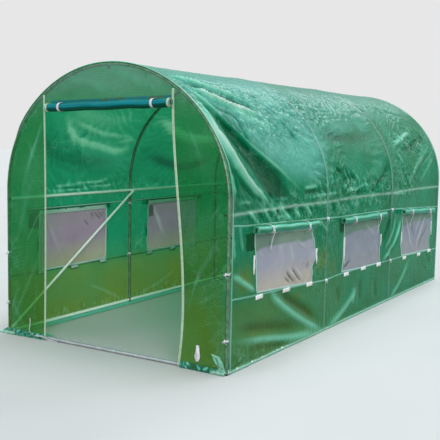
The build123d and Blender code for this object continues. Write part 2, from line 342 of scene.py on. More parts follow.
# Where the cover is
def section(girth):
    """The arch's outer line at a girth from the ridge, right positive: x, z and outward."""
    side = np.where(girth < 0, -1.0, 1.0)
    run = np.abs(girth)
    on_crown = run <= crown_girth
    on_haunch = ~on_crown & (run <= spring_girth)
    haunch_turn = quarter_turn + (run - crown_girth) / haunch_radius
    turn = np.where(on_crown, run / crown_radius, np.where(on_haunch, haunch_turn, math.pi / 2))
    sine, cosine = np.sin(turn), np.cos(turn)
    x = np.where(on_crown, crown_radius * sine, haunch_x + haunch_radius * sine)
    haunch_z = leg_height + haunch_radius * cosine
    below_crown = np.where(on_haunch, haunch_z, leg_height - (run - spring_girth))
    z = np.where(on_crown, crown_centre + crown_radius * cosine, below_crown)
    return side * x, z, side * sine, cosine


def girth_at(height):
    """The girth of a height on the upright wall."""
    return spring_girth + leg_height - height


def girth_of(points):
    """The girth of points on the cover, right positive."""
    x, _, z = points.T
    turn = np.arctan2(np.abs(x) - haunch_x, z - leg_height)
    haunch = crown_girth + (turn - quarter_turn) * haunch_radius
    crown = np.arctan2(np.abs(x), z - crown_centre) * crown_radius
    run = np.where(z <= leg_height, girth_at(z), np.where(turn > quarter_turn, haunch, crown))
    return np.where(x < 0, -run, run)


def arch_away(y):
    """How far the nearest arch is along the tunnel."""
    return np.min([np.abs(y - place) for place in arch_places], axis=0)


def seam_height(side, which, y):
    """The height of the side's top or bottom seam at y."""
    return lookup(seams[side, which], y - front_y)


# Folds on each side as points (distance from the front arch, girth), width, height, and the
# width on the far side where that differs
folds = {
    1: [
        ([(0.06, 0.47), (0.18, 0.49), (0.34, 0.54), (0.52, 0.60), (0.75, 0.70),
          (0.84, 0.76)], 0.013, 0.020),
        ([(0.14, 0.55), (0.24, 0.57), (0.38, 0.61), (0.62, 0.71), (0.90, 0.82)], 0.022, -0.012),
        ([(0.08, 0.58), (0.26, 0.68), (0.45, 0.77), (0.62, 0.81),
          (0.80, 0.84)], 0.024, 0.026, 0.018),
        ([(0.45, 0.82), (0.61, 0.88), (0.87, 0.99)], 0.035, 0.010),
        ([(0.13, 0.70), (0.26, 0.80), (0.40, 0.86), (0.45, 0.92)], 0.016, -0.007),
        ([(0.06, 0.60), (0.11, 0.71), (0.19, 0.86), (0.32, 1.00), (0.48, 1.15), (0.72, 1.28),
          (1.02, 1.46)], 0.014, 0.015, 0.024),
        ([(0.44, 0.90), (0.44, 1.00), (0.45, 1.08)], 0.013, -0.010),
        ([(0.49, 0.90), (0.49, 1.05)], 0.014, 0.007),
        ([(0.13, 0.84), (0.25, 0.99), (0.34, 1.13), (0.49, 1.27), (0.70, 1.42),
          (0.93, 1.54)], 0.078, -0.027),
        ([(0.08, 0.70), (0.04, 0.88), (0.04, 1.05), (0.11, 1.18), (0.20, 1.30), (0.32, 1.41),
          (0.50, 1.50), (0.70, 1.56)], 0.046, 0.019, 0.030),
        ([(0.00, 1.12), (0.03, 1.24), (0.08, 1.36)], 0.014, -0.012),
        ([(0.08, 1.30), (0.20, 1.40), (0.35, 1.48), (0.50, 1.53)], 0.018, -0.012),
        ([(0.03, 1.30), (0.06, 1.48)], 0.020, 0.010),
        ([(0.09, 1.29), (0.08, 1.39), (0.10, 1.50)], 0.013, -0.010),
        ([(0.10, 1.51), (0.30, 1.52)], 0.012, 0.008),
        ([(0.45, 1.45), (0.60, 1.55)], 0.013, -0.010),
        ([(0.56, 1.46), (0.70, 1.56)], 0.013, -0.008),
        ([(0.63, 1.52), (0.86, 1.53)], 0.012, 0.008),
        ([(0.24, 1.57), (0.40, 1.68)], 0.014, 0.011),
        ([(0.39, 1.57), (0.50, 1.68)], 0.013, -0.009),
        ([(0.46, 1.56), (0.57, 1.68)], 0.012, 0.012),
        ([(0.54, 1.56), (0.64, 1.68)], 0.011, -0.009),
        ([(0.60, 1.56), (0.71, 1.68)], 0.013, 0.014),
        ([(0.67, 1.57), (0.76, 1.67)], 0.011, -0.009),
        ([(0.73, 1.56), (0.86, 1.68)], 0.014, 0.015),
        ([(0.83, 1.56), (0.93, 1.67)], 0.013, -0.010),
        ([(0.93, 1.60), (1.04, 1.68)], 0.013, 0.012),
        ([(1.05, 1.58), (1.15, 1.68)], 0.013, -0.010),
        ([(1.12, 1.58), (1.24, 1.68)], 0.013, 0.011),
        ([(1.30, 1.57), (1.34, 1.69)], 0.014, -0.009),
        ([(1.62, 1.57), (1.66, 1.69)], 0.014, -0.008),
        ([(1.72, 1.58), (1.80, 1.68)], 0.012, 0.007),
        ([(0.02, 1.64), (0.06, 1.90)], 0.016, 0.009),
        ([(0.11, 1.66), (0.17, 1.85)], 0.014, 0.007),
        ([(1.08, 0.86), (1.12, 0.95), (1.21, 1.13)], 0.013, -0.007),
        ([(1.12, 0.85), (1.16, 0.95), (1.25, 1.12)], 0.013, 0.006),
        ([(1.10, 1.46), (1.35, 1.45)], 0.013, 0.009),
        ([(1.12, 1.49), (1.36, 1.49)], 0.014, -0.011),
        ([(1.12, 1.53), (1.58, 1.52), (1.73, 1.52)], 0.012, 0.009),
        ([(1.33, 1.71), (1.55, 1.83)], 0.016, 0.008),
        ([(1.54, 1.13), (1.70, 1.13)], 0.012, 0.006),
        ([(1.84, 1.13), (2.04, 1.10)], 0.012, 0.006),
        ([(1.60, 1.02), (2.30, 1.03), (2.90, 0.99)], 0.050, -0.008),
        ([(1.73, 1.31), (1.90, 1.37)], 0.015, -0.013),
        ([(1.90, 1.34), (2.00, 1.46)], 0.013, 0.009),
        ([(1.96, 1.33), (2.05, 1.44)], 0.013, -0.011),
        ([(2.05, 1.36), (2.15, 1.43)], 0.013, -0.011),
        ([(2.10, 1.34), (2.24, 1.44)], 0.013, 0.008),
        ([(1.96, 1.52), (2.17, 1.51), (2.37, 1.48), (2.53, 1.51)], 0.013, 0.011),
        ([(2.00, 1.55), (2.50, 1.54)], 0.013, -0.009),
        ([(2.32, 1.44), (2.60, 1.36), (2.90, 1.26)], 0.055, 0.003),
        ([(2.62, 1.52), (2.80, 1.42), (2.95, 1.30)], 0.030, -0.009),
        ([(3.22, 1.12), (3.47, 1.07), (3.80, 0.99), (4.00, 0.95)], 0.026, 0.014),
        ([(3.40, 1.17), (4.07, 1.08), (4.44, 1.00)], 0.045, -0.007),
        ([(3.08, 0.42), (3.09, 0.60), (3.16, 0.74)], 0.050, -0.012),
        ([(3.47, 0.55), (3.99, 0.66), (4.30, 0.72)], 0.014, -0.006),
        ([(3.30, 1.20), (3.47, 1.31)], 0.020, 0.009),
        ([(3.62, 1.50), (3.80, 1.37), (3.96, 1.30), (4.36, 1.14)], 0.026, 0.006),
        ([(3.69, 1.53), (4.04, 1.33), (4.42, 1.18)], 0.016, -0.007),
        ([(3.85, 1.54), (4.44, 1.24)], 0.020, 0.005),
        ([(3.04, 1.60), (3.44, 1.61)], 0.013, 0.007),
        ([(0.02, 1.97), (0.18, 2.05), (0.35, 2.13)], 0.018, 0.013),
        ([(2.80, 2.22), (3.08, 2.09), (3.33, 1.82)], 0.020, 0.015),
        ([(2.84, 2.12), (3.04, 1.98), (3.12, 1.80)], 0.018, 0.009),
        ([(2.92, 2.20), (3.25, 2.02)], 0.022, -0.009),
        ([(2.80, 2.05), (3.00, 1.80)], 0.025, -0.009),
        ([(1.47, 2.62), (1.21, 2.52), (0.97, 2.41), (0.66, 2.24), (0.56, 2.16)], 0.030, 0.010),
        ([(1.36, 2.51), (1.12, 2.38), (0.92, 2.29), (0.70, 2.18)], 0.034, -0.013),
        ([(1.42, 2.62), (0.96, 2.57), (0.61, 2.51), (0.05, 2.42)], 0.032, 0.010),
        ([(1.10, 2.51), (0.56, 2.42), (0.10, 2.35)], 0.042, -0.010),
        ([(0.85, 2.60), (0.30, 2.52)], 0.024, -0.008),
        ([(1.54, 2.62), (1.79, 2.56), (2.00, 2.48), (2.16, 2.40)], 0.030, 0.009),
        ([(1.75, 2.30), (1.80, 2.45)], 0.040, -0.006),
        ([(2.10, 2.52), (2.12, 2.36)], 0.040, 0.006),
        ([(2.27, 2.30), (2.28, 2.52)], 0.045, -0.007),
        ([(2.62, 2.34), (2.66, 2.56)], 0.040, -0.006),
        ([(3.02, 2.62), (3.30, 2.50), (3.60, 2.30)], 0.026, 0.008),
    ],
    -1: [
        ([(0.34, 0.80), (0.90, 0.90), (1.35, 0.88)], 0.090, 0.005),
        ([(0.42, 0.90), (0.63, 1.09), (0.95, 1.16), (1.22, 1.22), (1.40, 1.20)], 0.030, 0.016),
        ([(0.48, 0.92), (0.76, 0.99), (1.00, 1.05), (1.44, 1.08)], 0.022, 0.010),
        ([(1.45, 1.11), (1.18, 1.13)], 0.016, 0.008),
        ([(0.20, 1.05), (0.50, 1.25), (1.35, 1.34)], 0.080, -0.007),
        ([(0.44, 1.52), (0.76, 1.50), (1.08, 1.49), (1.20, 1.45)], 0.012, 0.010),
        ([(0.42, 1.55), (0.83, 1.54), (1.44, 1.51)], 0.012, 0.009),
        ([(0.46, 1.535), (0.90, 1.52), (1.30, 1.50)], 0.010, -0.008),
        ([(1.62, 0.85), (2.20, 1.05), (2.90, 1.10)], 0.050, 0.014),
        ([(1.65, 1.25), (2.30, 1.38), (2.85, 1.30)], 0.045, -0.014),
        ([(3.12, 1.10), (3.70, 0.95), (4.40, 0.85)], 0.050, 0.016),
        ([(3.20, 1.45), (4.35, 1.10)], 0.035, 0.010),
        ([(1.45, 2.62), (1.15, 2.48), (0.90, 2.38)], 0.016, 0.003),
        ([(1.56, 2.62), (2.00, 2.52), (2.30, 2.42)], 0.018, 0.003),
        ([(3.06, 2.62), (3.50, 2.45), (3.90, 2.30)], 0.032, 0.010),
        ([(1.56, 2.16), (1.66, 2.08), (1.76, 2.02)], 0.014, 0.004),
    ],
}

# Where each side is crumpled: distance, girth, reach along and down, and depth
crumples = {
    1: [
        (0.48, 0.64, 0.42, 0.08, 0.0080),
        (3.50, 1.06, 0.35, 0.07, 0.0070),
        (0.85, 1.62, 0.50, 0.10, 0.0065),
        (1.80, 1.45, 0.40, 0.14, 0.0085),
        (2.55, 1.52, 0.50, 0.09, 0.0085),
        (2.20, 1.68, 0.60, 0.07, 0.0045),
        (3.45, 1.45, 0.35, 0.14, 0.0070),
        (3.95, 1.02, 0.40, 0.12, 0.0070),
        (0.80, 0.90, 0.55, 0.18, 0.0050),
        (1.62, 0.72, 0.30, 0.16, 0.0035),
        (3.70, 0.66, 0.50, 0.12, 0.0035),
        (1.75, 0.75, 0.80, 0.25, 0.0025),
        (0.20, 2.58, 0.30, 0.08, 0.0050),
        (4.30, 2.40, 0.35, 0.25, 0.0030),
        (1.40, 1.95, 0.30, 0.30, 0.0030),
    ],
    -1: [
        (0.80, 1.54, 0.60, 0.06, 0.0060),
        (0.70, 1.10, 0.45, 0.16, 0.0050),
        (0.60, 2.58, 0.70, 0.05, 0.0035),
        (2.10, 1.54, 0.70, 0.08, 0.0050),
        (1.75, 2.00, 0.30, 0.20, 0.0035),
        (2.40, 2.58, 0.60, 0.05, 0.0040),
        (3.60, 1.40, 0.60, 0.16, 0.0050),
        (3.90, 2.40, 0.50, 0.25, 0.0030),
    ],
}

# How far the film hangs in between two arches, as (girth, depth)
slack = [
    (0.0, 0.003), (0.3, 0.006), (0.6, 0.016), (1.1, 0.034), (1.42, 0.034),
    (1.58, 0.030), (1.72, 0.014), (2.1, 0.009), (2.5, 0.004), (2.66, 0.0),
]


def fold_heights(distance, run, side):
    """The height of the side's folds, each of them lower towards its ends."""
    total = np.zeros_like(distance)
    for points, width, height, *far_width in folds[side]:
        line = smooth_path(points, 9)
        nearest = np.full(distance.shape, 9.0)
        place, spread_out = np.zeros(distance.shape), np.full(distance.shape, width)
        for index, (start, end) in enumerate(zip(line[:-1], line[1:])):
            away, share = nearest_on(start, end, distance, run)
            closer = away < nearest
            place = np.where(closer, (index + share) / (len(line) - 1), place)
            if far_width:
                step = end - start
                beyond = step[0] * (run - start[1]) < step[1] * (distance - start[0])
                spread_out = np.where(closer, np.where(beyond, far_width[0], width), spread_out)
            nearest = np.minimum(nearest, away)
        taper = smooth_step(place / 0.25) * smooth_step((1 - place) / 0.25) * 0.8 + 0.2
        total += 1.5 * height * taper * np.exp(-((nearest / spread_out) ** 1.7))
    return total


def patch_heights(distance, run, side):
    """The height of the creases in the side's crumpled places."""
    seed = 5 if side > 0 else 9
    creases = crumple(distance, run, 0.11, seed) + 0.45 * crumple(distance, run, 0.05, seed + 20)
    total = np.zeros_like(distance)
    for at, girth, reach, drop, depth in crumples[side]:
        total += 2 * depth * bell(distance - at, reach) * bell(run - girth, drop)
    return total * creases


def gathers(distance, run):
    """Small upright creases above the rolls, along the ground and down the lower walls."""
    drift = 2.0 * soft_noise(distance, run, 0.22, 71)
    waves = np.abs(np.sin(distance * math.pi / gather_pitch + drift + 3 * (run - spring_girth)))
    above = bell(run - girth_at(1.0), 0.055)
    low = smooth_step((run - girth_at(0.16)) / 0.14)
    wall = 0.30 * smooth_step((run - girth_at(0.45)) / 0.08) * smooth_step((distance - 1.0) / 0.8)
    patchy = 0.55 + 0.45 * soft_noise(distance, run, 0.5, 72)
    return gather_height * patchy * (waves - 0.5) * (above + 0.7 * low + wall)


def wrinkles(distance, run):
    """Fine creases along each bay's pull, from the front top down to the rear."""
    bay = np.clip(distance // bay_length, 0, 2).astype(int)
    slope = np.array(wrinkle_slopes)[bay]
    across = run * np.cos(slope) - distance * np.sin(slope)
    along = distance * np.cos(slope) + run * np.sin(slope)
    warp = 1.6 * soft_noise(across, along, 0.30, 141) + 0.5 * soft_noise(across, along, 0.09, 142)
    crest = 1 - 2 * np.abs(np.sin(math.pi * (across / wrinkle_pitch + warp)))
    patchy = smooth_step(0.5 + 1.2 * soft_noise(across, along, 0.42, 143))
    reach = smooth_step((run - 0.25) / 0.3) * smooth_step((1.95 - run) / 0.5)
    return wrinkle_height * crest * patchy * reach


def cover_relief(distance, girth):
    """The height of the folds, crumples and gathers at each place."""
    run = np.abs(girth)
    right, left = (
        fold_heights(distance, run, side) + patch_heights(distance, run, side) for side in sides
    )
    creased = np.where(girth >= 0, right, left) * smooth_step(run / 0.25)
    return creased + gathers(distance, run) + wrinkles(distance, run)


def cover_depth(y, girth):
    """How far the film stands out from the arches' outer line at each place."""
    distance = y - front_y
    run = np.abs(girth)
    bay_share = (distance / bay_length) % 1.0
    inside = (distance > 0) & (distance < rear_y - front_y)
    sag = np.where(inside, 4 * bay_share * (1 - bay_share), 0.0) * lookup(slack, run)
    small = 0.0016 * crumple(distance + 0.7 * np.sign(girth), run, 0.16, 33)
    loose = smooth_step((arch_away(y) - 0.004) / arch_touch)
    depth = -sag + loose * (cover_relief(distance, girth) + small)
    # Deep folds level out, and stop at the rails and at limits on the walls and above them
    level, give = -0.043, 0.020
    on_rail, on_wall, above_wall = -0.0225, -0.021, -0.063
    below = np.maximum(level - depth, 0)
    depth = np.maximum(depth, level) - give * (1 - np.exp(-below / give))
    ridge_floor = on_rail - 1.5 * np.maximum(run - 0.008, 0)
    rail_floor = on_rail - np.maximum(np.abs(run - rail_girth) - 0.006, 0)
    wall_floor = np.where(run > spring_girth + 0.12, on_wall, above_wall)
    depth = np.maximum(depth, np.maximum(wall_floor, np.where(run < 0.1, ridge_floor, rail_floor)))
    return depth + 0.0025 * bell(arch_away(y), 0.012)


def on_cover(y, girth, lift=0.0):
    """Points of the film at y and girth, lifted off it by lift."""
    y, girth = np.broadcast_arrays(*floats(y, girth))
    x, z, nx, nz = section(girth)
    out = film_gap + cover_depth(y, girth) + lift
    pull = edge_pull * smooth_step((np.abs(girth) - 0.95) / 0.35)
    near_front = smooth_step(1 - (y - cover_front) / 0.2)
    return np.stack([x + nx * out, y + pull * near_front, z + nz * out], -1)


def cover_breaks():
    """Places along the cover that a grid keeps a line on: its ends and each arch's sides."""
    near = 0.02
    marks = [cover_front, front_y, front_y + near]
    for place in arch_places[1:-1]:
        marks += [place - near, place - near / 2, place, place + near / 2, place + near]
    return [*marks, rear_y - near, rear_y, cover_rear]


# Painted highlight where the film lies on an arch, and painted olive light from a lawn seen through
# the walls and ends, as (height, share)
tube_highlight_by_height = [
    (0.40, 0.45), (0.55, 0.2), (0.85, 0.3), (0.95, 0.6), (1.15, 0.75), (1.6, 0.6), (1.95, 0.4),
]
right_lawn_light = [(0.0, 0.62), (0.34, 0.52), (0.44, 0.40), (0.50, 0.0)]
left_lawn_light = [(0.0, 0.88), (0.30, 0.80), (0.40, 0.62), (0.48, 0.15), (0.62, 0.0)]
end_lawn_light = [(0.0, 1.0), (0.40, 0.95), (0.58, 0.45), (1.05, 0.0)]

# How the painted lawn light fades along each side, as (distance, share)
right_lawn_fade = [(0.0, 1.0), (1.2, 0.8), (2.0, 0.35), (4.5, 0.1)]
left_lawn_fade = [(2.8, 1.0), (3.8, 0.45)]

# Single places of painted lawn light on the right: distance, height, reach, drop and share
right_lawn_spots = [
    (0.20, 0.60, 0.14, 0.10, 0.85), (1.42, 0.58, 0.14, 0.10, 0.75), (1.62, 0.50, 0.12, 0.10, 0.45),
    (0.95, 0.36, 0.22, 0.06, 0.75), (1.20, 0.22, 0.16, 0.06, 0.65), (0.35, 0.22, 0.35, 0.06, 0.7),
]

# How far down the film's top carries a painted sky reflection, as (distance, girth), and how
# strong it is, as (distance, share)
sky_reflection_edge = [
    (0.0, 0.68), (0.5, 1.08), (0.95, 1.36), (1.45, 1.38), (1.60, 1.18), (2.2, 0.98), (3.0, 0.86),
    (4.5, 0.66),
]
sky_reflection_share = [
    (0.0, 0.74), (0.5, 0.92), (1.35, 1.0), (1.7, 0.60), (2.3, 0.42), (3.0, 0.34), (4.5, 0.30),
]

# How crumpled the film is outside the crumpled places, as (girth, share)
plain_crumple = [(0.45, 0.03), (0.6, 0.10), (2.05, 0.10), (2.2, 0.03)]


# What the film's material reads from the mesh, each from 0 to 1
def painted_tube_highlight(points):
    """How near a point of the cover is to the tube it hangs on, 1 where it touches, as the strength
    of a painted highlight there.
    """
    x, y, z = points.T
    on_wall, on_ridge = np.abs(x) > wall_x, z > ridge_rail_z
    arch = arch_away(y)
    side_rail = np.where(on_wall, np.abs(z - side_rail_z), 1.0)
    ground_rail = np.where(on_wall, np.abs(z - ground_rail_z), 1.0)
    ridge_rail = np.where(on_ridge, np.abs(x), 1.0)
    near = bell(np.minimum.reduce([arch, side_rail, ground_rail, ridge_rail]), contact_width)
    at_rail = np.where(on_ridge, 0.5, 1.0)
    return near * np.where(arch < 2 * contact_width, lookup(tube_highlight_by_height, z), at_rail)


def crumpled(distance, girth):
    """How crumpled the film is at a point."""
    run = np.abs(girth)
    total = lookup(plain_crumple, run)
    for side, patches in crumples.items():
        for at, down, reach, drop, depth in patches:
            near = bell(distance - at, reach) * bell(run - down, 1.3 * drop)
            total += np.where(side * girth > 0, 150 * depth * near, 0.0)
    return np.minimum(total, 1.0)


def painted_sky_reflection(distance, girth):
    """Painted sky reflection on the film's top, reaching lower down in the front bay."""
    run = np.abs(girth) + 0.04 * soft_noise(distance, girth, 0.18, 151)
    above_edge = smooth_step((lookup(sky_reflection_edge, distance) - run) / 0.16 + 0.5)
    return lookup(sky_reflection_share, distance) * above_edge


def painted_lawn_light(points):
    """Painted olive light from a lawn seen through the film: at its foot, and a few places above
    it.
    """
    x, y, z = points.T
    distance = y - front_y
    cloud = 0.5 + 0.5 * soft_noise(distance, z + 3 * x, 0.25, 161)
    right = lookup(right_lawn_light, z) * lookup(right_lawn_fade, distance)
    for at, height, reach, drop, share in right_lawn_spots:
        right = np.maximum(right, share * bell(distance - at, reach) * bell(z - height, drop))
    left = lookup(left_lawn_light, z + 0.04 * soft_noise(distance, z, 0.16, 163))
    left = left * lookup(left_lawn_fade, distance)
    ends = lookup(end_lawn_light, z) * np.where(x > 0, 1.0, 0.55)
    on_end = np.abs(x) < half_width - 0.05
    seen_lawn = np.where(on_end, ends, np.where(x > 0, right, left))
    return np.minimum(seen_lawn * (0.75 + 0.5 * cloud), 1.0)


def add_piece(name, part, material, replaces=(), **layers):
    """A piece of the scene from a mesh, with the values that its material reads in layers."""
    points, faces, uvs = part
    mesh = bpy.data.meshes.new(name)
    mesh.from_pydata(points.tolist(), [], faces.tolist())
    # Painted highlight where the film lies on a tube
    layers["tube_highlight"] = painted_tube_highlight(points)
    if material is film:
        distance, girth = points[:, 1] - front_y, girth_of(points)
        layers["crease"] = crumpled(distance, girth)
        # Fold heights, which the material paints as shade in the hollows and highlight on the
        # ridges
        layers["relief"] = np.clip(cover_relief(distance, girth) / full_relief, -1.2, 2.4)
        # Painted sky reflection on the film's top
        layers["sky_reflection"] = painted_sky_reflection(distance, girth)
    # Painted olive light from a lawn seen through the film
    if material in (film, end_film):
        layers["lawn_light"] = painted_lawn_light(points)
    for layer_name, values in layers.items():
        layer = mesh.attributes.new(layer_name, "FLOAT", "POINT")
        layer.data.foreach_set("value", values.reshape(-1).astype(np.float32))
    layer = mesh.uv_layers.new(name="metres")
    layer.data.foreach_set("uv", uvs[faces.reshape(-1)].astype(np.float32).reshape(-1))
    mesh.polygons.foreach_set("use_smooth", np.ones(len(mesh.polygons), bool))
    mesh.materials.append(material)
    piece = bpy.data.objects.new(name, mesh)
    bpy.context.scene.collection.objects.link(piece)
    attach(piece, "root")
    if replaces:
        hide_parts(*replaces)
    return piece


# Materials
def shader(tree, kind, inputs=None, **settings):
    """A new node, its inputs set to values or linked to other nodes' outputs."""
    node = tree.nodes.new("ShaderNode" + kind)
    for name, value in settings.items():
        setattr(node, name, value)
    for key, value in (inputs or {}).items():
        if isinstance(value, bpy.types.NodeSocket):
            tree.links.new(value, node.inputs[key])
        else:
            node.inputs[key].default_value = value
    return node


def new_material(name):
    material = bpy.data.materials.new(name)
    material.use_nodes = True
    material.node_tree.nodes.clear()
    return material, material.node_tree


def finish_material(material, tree, surface):
    output = shader(tree, "OutputMaterial")
    tree.links.new(surface.outputs[0], output.inputs["Surface"])
    return material


def colour(red, green, blue):
    """A display colour from 0 to 255 as a linear one."""
    values = [value / 255 for value in (red, green, blue)]
    return [v / 12.92 if v <= 0.04045 else ((v + 0.055) / 1.055) ** 2.4 for v in values] + [1]


def coordinates(tree):
    outputs = shader(tree, "TexCoord").outputs
    return outputs["Object"], outputs["UV"]


def stored(tree, *layers):
    """Values that add_piece stored on the mesh."""
    return [shader(tree, "Attribute", attribute_name=layer).outputs["Fac"] for layer in layers]


def math_node(tree, operation, first, second):
    return shader(tree, "Math", {0: first, 1: second}, operation=operation).outputs[0]


def product(tree, first, second):
    return math_node(tree, "MULTIPLY", first, second)


def mapped(tree, value, low, high, to_low=0.0, to_high=1.0):
    inputs = {"Value": value, "From Min": low, "From Max": high}
    inputs |= {"To Min": to_low, "To Max": to_high}
    return shader(tree, "MapRange", inputs).outputs[0]


def mixed(tree, factor, first, second):
    return shader(tree, "Mix", {0: factor, 6: first, 7: second}, data_type="RGBA").outputs[2]


def mixed_shaders(tree, factor, first, second):
    return shader(tree, "MixShader", {0: factor, 1: first.outputs[0], 2: second.outputs[0]})


def noise(tree, vector, scale, detail=2.0, distortion=0.0):
    inputs = {"Vector": vector, "Scale": scale, "Detail": detail, "Distortion": distortion}
    return shader(tree, "TexNoise", inputs).outputs["Fac"]


def bump(tree, height, distance, strength=1.0, normal=None):
    inputs = {"Height": height, "Distance": distance, "Strength": strength}
    if normal is not None:
        inputs["Normal"] = normal
    return shader(tree, "Bump", inputs).outputs["Normal"]


def thread_grid(tree, uv, cell, thread):
    """1 on the threads of a square grid in UV metres, and 0 between them."""
    axes = shader(tree, "SeparateXYZ", {"Vector": uv})
    across, along = (math_node(tree, "PINGPONG", axes.outputs[axis], cell / 2) for axis in (0, 1))
    lines = [mapped(tree, away, 0.0, thread, 1.0, 0.0) for away in (across, along)]
    return math_node(tree, "MAXIMUM", *lines)


def crinkles(tree, place, patches):
    """The facets of crumpled film and the broken lines between them, strongest in the patches; the
    film paints the lines as shade and highlight.
    """
    warp = shader(tree, "TexNoise", {"Vector": place, "Scale": 6.0, "Detail": 2.0})
    shift = {0: warp.outputs["Color"], 1: (0.25, 0.25, 0.25)}
    shift = shader(tree, "VectorMath", shift, operation="MULTIPLY").outputs[0]
    moved = shader(tree, "VectorMath", {0: place, 1: shift}, operation="ADD").outputs[0]
    cells, chips = (
        shader(tree, "TexVoronoi", {"Vector": moved, "Scale": scale}, feature="DISTANCE_TO_EDGE")
        for scale in (13.0, 27.0)
    )
    facets = product(tree, mapped(tree, cells.outputs["Distance"], 0.0, 0.25), patches)
    large = mapped(tree, cells.outputs["Distance"], 0.0, 0.075, 1.0, 0.0)
    small = mapped(tree, chips.outputs["Distance"], 0.0, 0.09, 0.6, 0.0)
    lines = product(tree, math_node(tree, "MAXIMUM", large, small), patches)
    broken = mapped(tree, noise(tree, place, 5.0), 0.40, 0.56, 0.15, 0.75)
    return facets, product(tree, lines, broken)


def film_material(name, tones, clear, crease, gloss=0.3, haze=1.0, shine=0.85, top_panel_light=None):
    """Reinforced green film: a thread grid in glossy plastic that lets light through.

    Its tones are the dark and the light body colour, the colour it glows in and its tint seen
    through. clear is the share seen through, crease the depth of its facets, shine how strongly
    the painted highlight along the tubes shows, and the last argument gives two heights and the
    share of painted light above them. The film also paints shade and highlights on its folds, a
    sky reflection on its top and olive light from a lawn seen through it.
    """
    material, tree = new_material(name)
    place, uv = coordinates(tree)
    deep, pale, glow, tint = (colour(*tone) for tone in tones)
    threads = thread_grid(tree, uv, *film_threads)
    cloud = noise(tree, place, 2.2, 3.0, 0.4)
    fine = noise(tree, place, 38.0, 3.0, 0.4)
    patches, tube_highlight, relief, sky_reflection, lawn_light = stored(
        tree, "crease", "tube_highlight", "relief", "sky_reflection", "lawn_light"
    )
    facets, lines = crinkles(tree, place, patches)

    # Body: cloudy, with its threads; painted olive light from a lawn seen through it, then a
    # painted sky reflection on its top and painted light at the top of an end panel
    height = shader(tree, "SeparateXYZ", {"Vector": place}).outputs[2]
    shade = mixed(tree, mapped(tree, cloud, 0.35, 0.65), deep, pale)
    # Painted olive light from a lawn seen through the film
    shade = mixed(tree, lawn_light, shade, colour(122, 140, 44))
    body = mixed(tree, mapped(tree, threads, 0.0, 1.0, 0.0, 0.4), shade, pale)
    # Painted sky reflection: the top turns pale mint
    body = mixed(tree, mapped(tree, sky_reflection, 0.0, 1.0, 0.0, 0.66), body, colour(124, 212, 206))
    # Painted light at the top of an end panel, standing in for the bright roof seen through it
    if top_panel_light:
        low, high, share = top_panel_light
        top_panel_light_share = mapped(tree, height, low, high, 0.0, share)
        body = mixed(tree, top_panel_light_share, body, colour(166, 188, 200))

    # Folds: painted shade in their hollows, painted highlights on their ridges, and painted shade
    # and highlight along the creases
    # The painted shade colour: olive low down, deep green higher up
    hollow = mixed(tree, mapped(tree, height, 0.2, 0.7), colour(70, 100, 34), colour(0, 80, 50))
    fold_shade = mapped(tree, relief, -1.2, -0.05, 0.95, 0.0)
    ridge_highlight = mapped(tree, relief, 0.10, 1.2, 0.0, 0.88)
    body = mixed(tree, ridge_highlight, mixed(tree, fold_shade, body, hollow), colour(144, 232, 208))
    # Crease lines: painted shade on one side, painted highlight on the other
    lit_side = mapped(tree, noise(tree, place, 8.0), 0.46, 0.54)
    body = mixed(tree, lines, body, mixed(tree, lit_side, hollow, colour(176, 240, 218)))
    # Painted white glints on the highest ridges
    body = mixed(tree, mapped(tree, relief, 1.5, 2.4, 0.0, 0.95), body, colour(236, 252, 248))
    # Painted highlight where the film lies on a tube
    body = mixed(tree, product(tree, tube_highlight, shine), body, colour(196, 246, 230))
    # The glow takes the painted lawn light
    glow = mixed(tree, product(tree, lawn_light, 0.8), glow, colour(128, 150, 40))
    # The glow takes the painted fold shade and ridge highlight too
    glow = mixed(tree, ridge_highlight, mixed(tree, fold_shade, glow, hollow), colour(150, 236, 190))

    normal = bump(tree, threads, 0.0005, 0.15)
    normal = bump(tree, product(tree, fine, patches), 0.0030, 0.5, normal)
    normal = bump(tree, facets, crease, 1.0, normal)
    inputs = {
        "Base Color": body,
        "Roughness": mapped(tree, fine, 0.3, 0.7, gloss - 0.06, gloss + 0.1),
        "IOR": 1.5,
        "Specular IOR Level": 0.10,
        "Specular Tint": colour(120, 255, 245),
        "Sheen Weight": haze,
        "Sheen Roughness": 0.32,
        "Sheen Tint": colour(70, 250, 230),
        "Normal": normal,
    }
    plastic = shader(tree, "BsdfPrincipled", inputs)
    through = shader(tree, "BsdfTranslucent", {"Color": glow, "Normal": normal})
    # What is seen through turns olive with the painted lawn light
    seen_through = mixed(tree, product(tree, lawn_light, 0.75), tint, colour(150, 196, 70))
    open_part = shader(tree, "BsdfTransparent", {"Color": seen_through})
    closed = math_node(tree, "MAXIMUM", threads, ridge_highlight)
    openness = mapped(tree, closed, 0.0, 1.0, clear, clear * 0.5)
    lit = mixed_shaders(tree, 0.28, plastic, through)
    return finish_material(material, tree, mixed_shaders(tree, openness, lit, open_part))


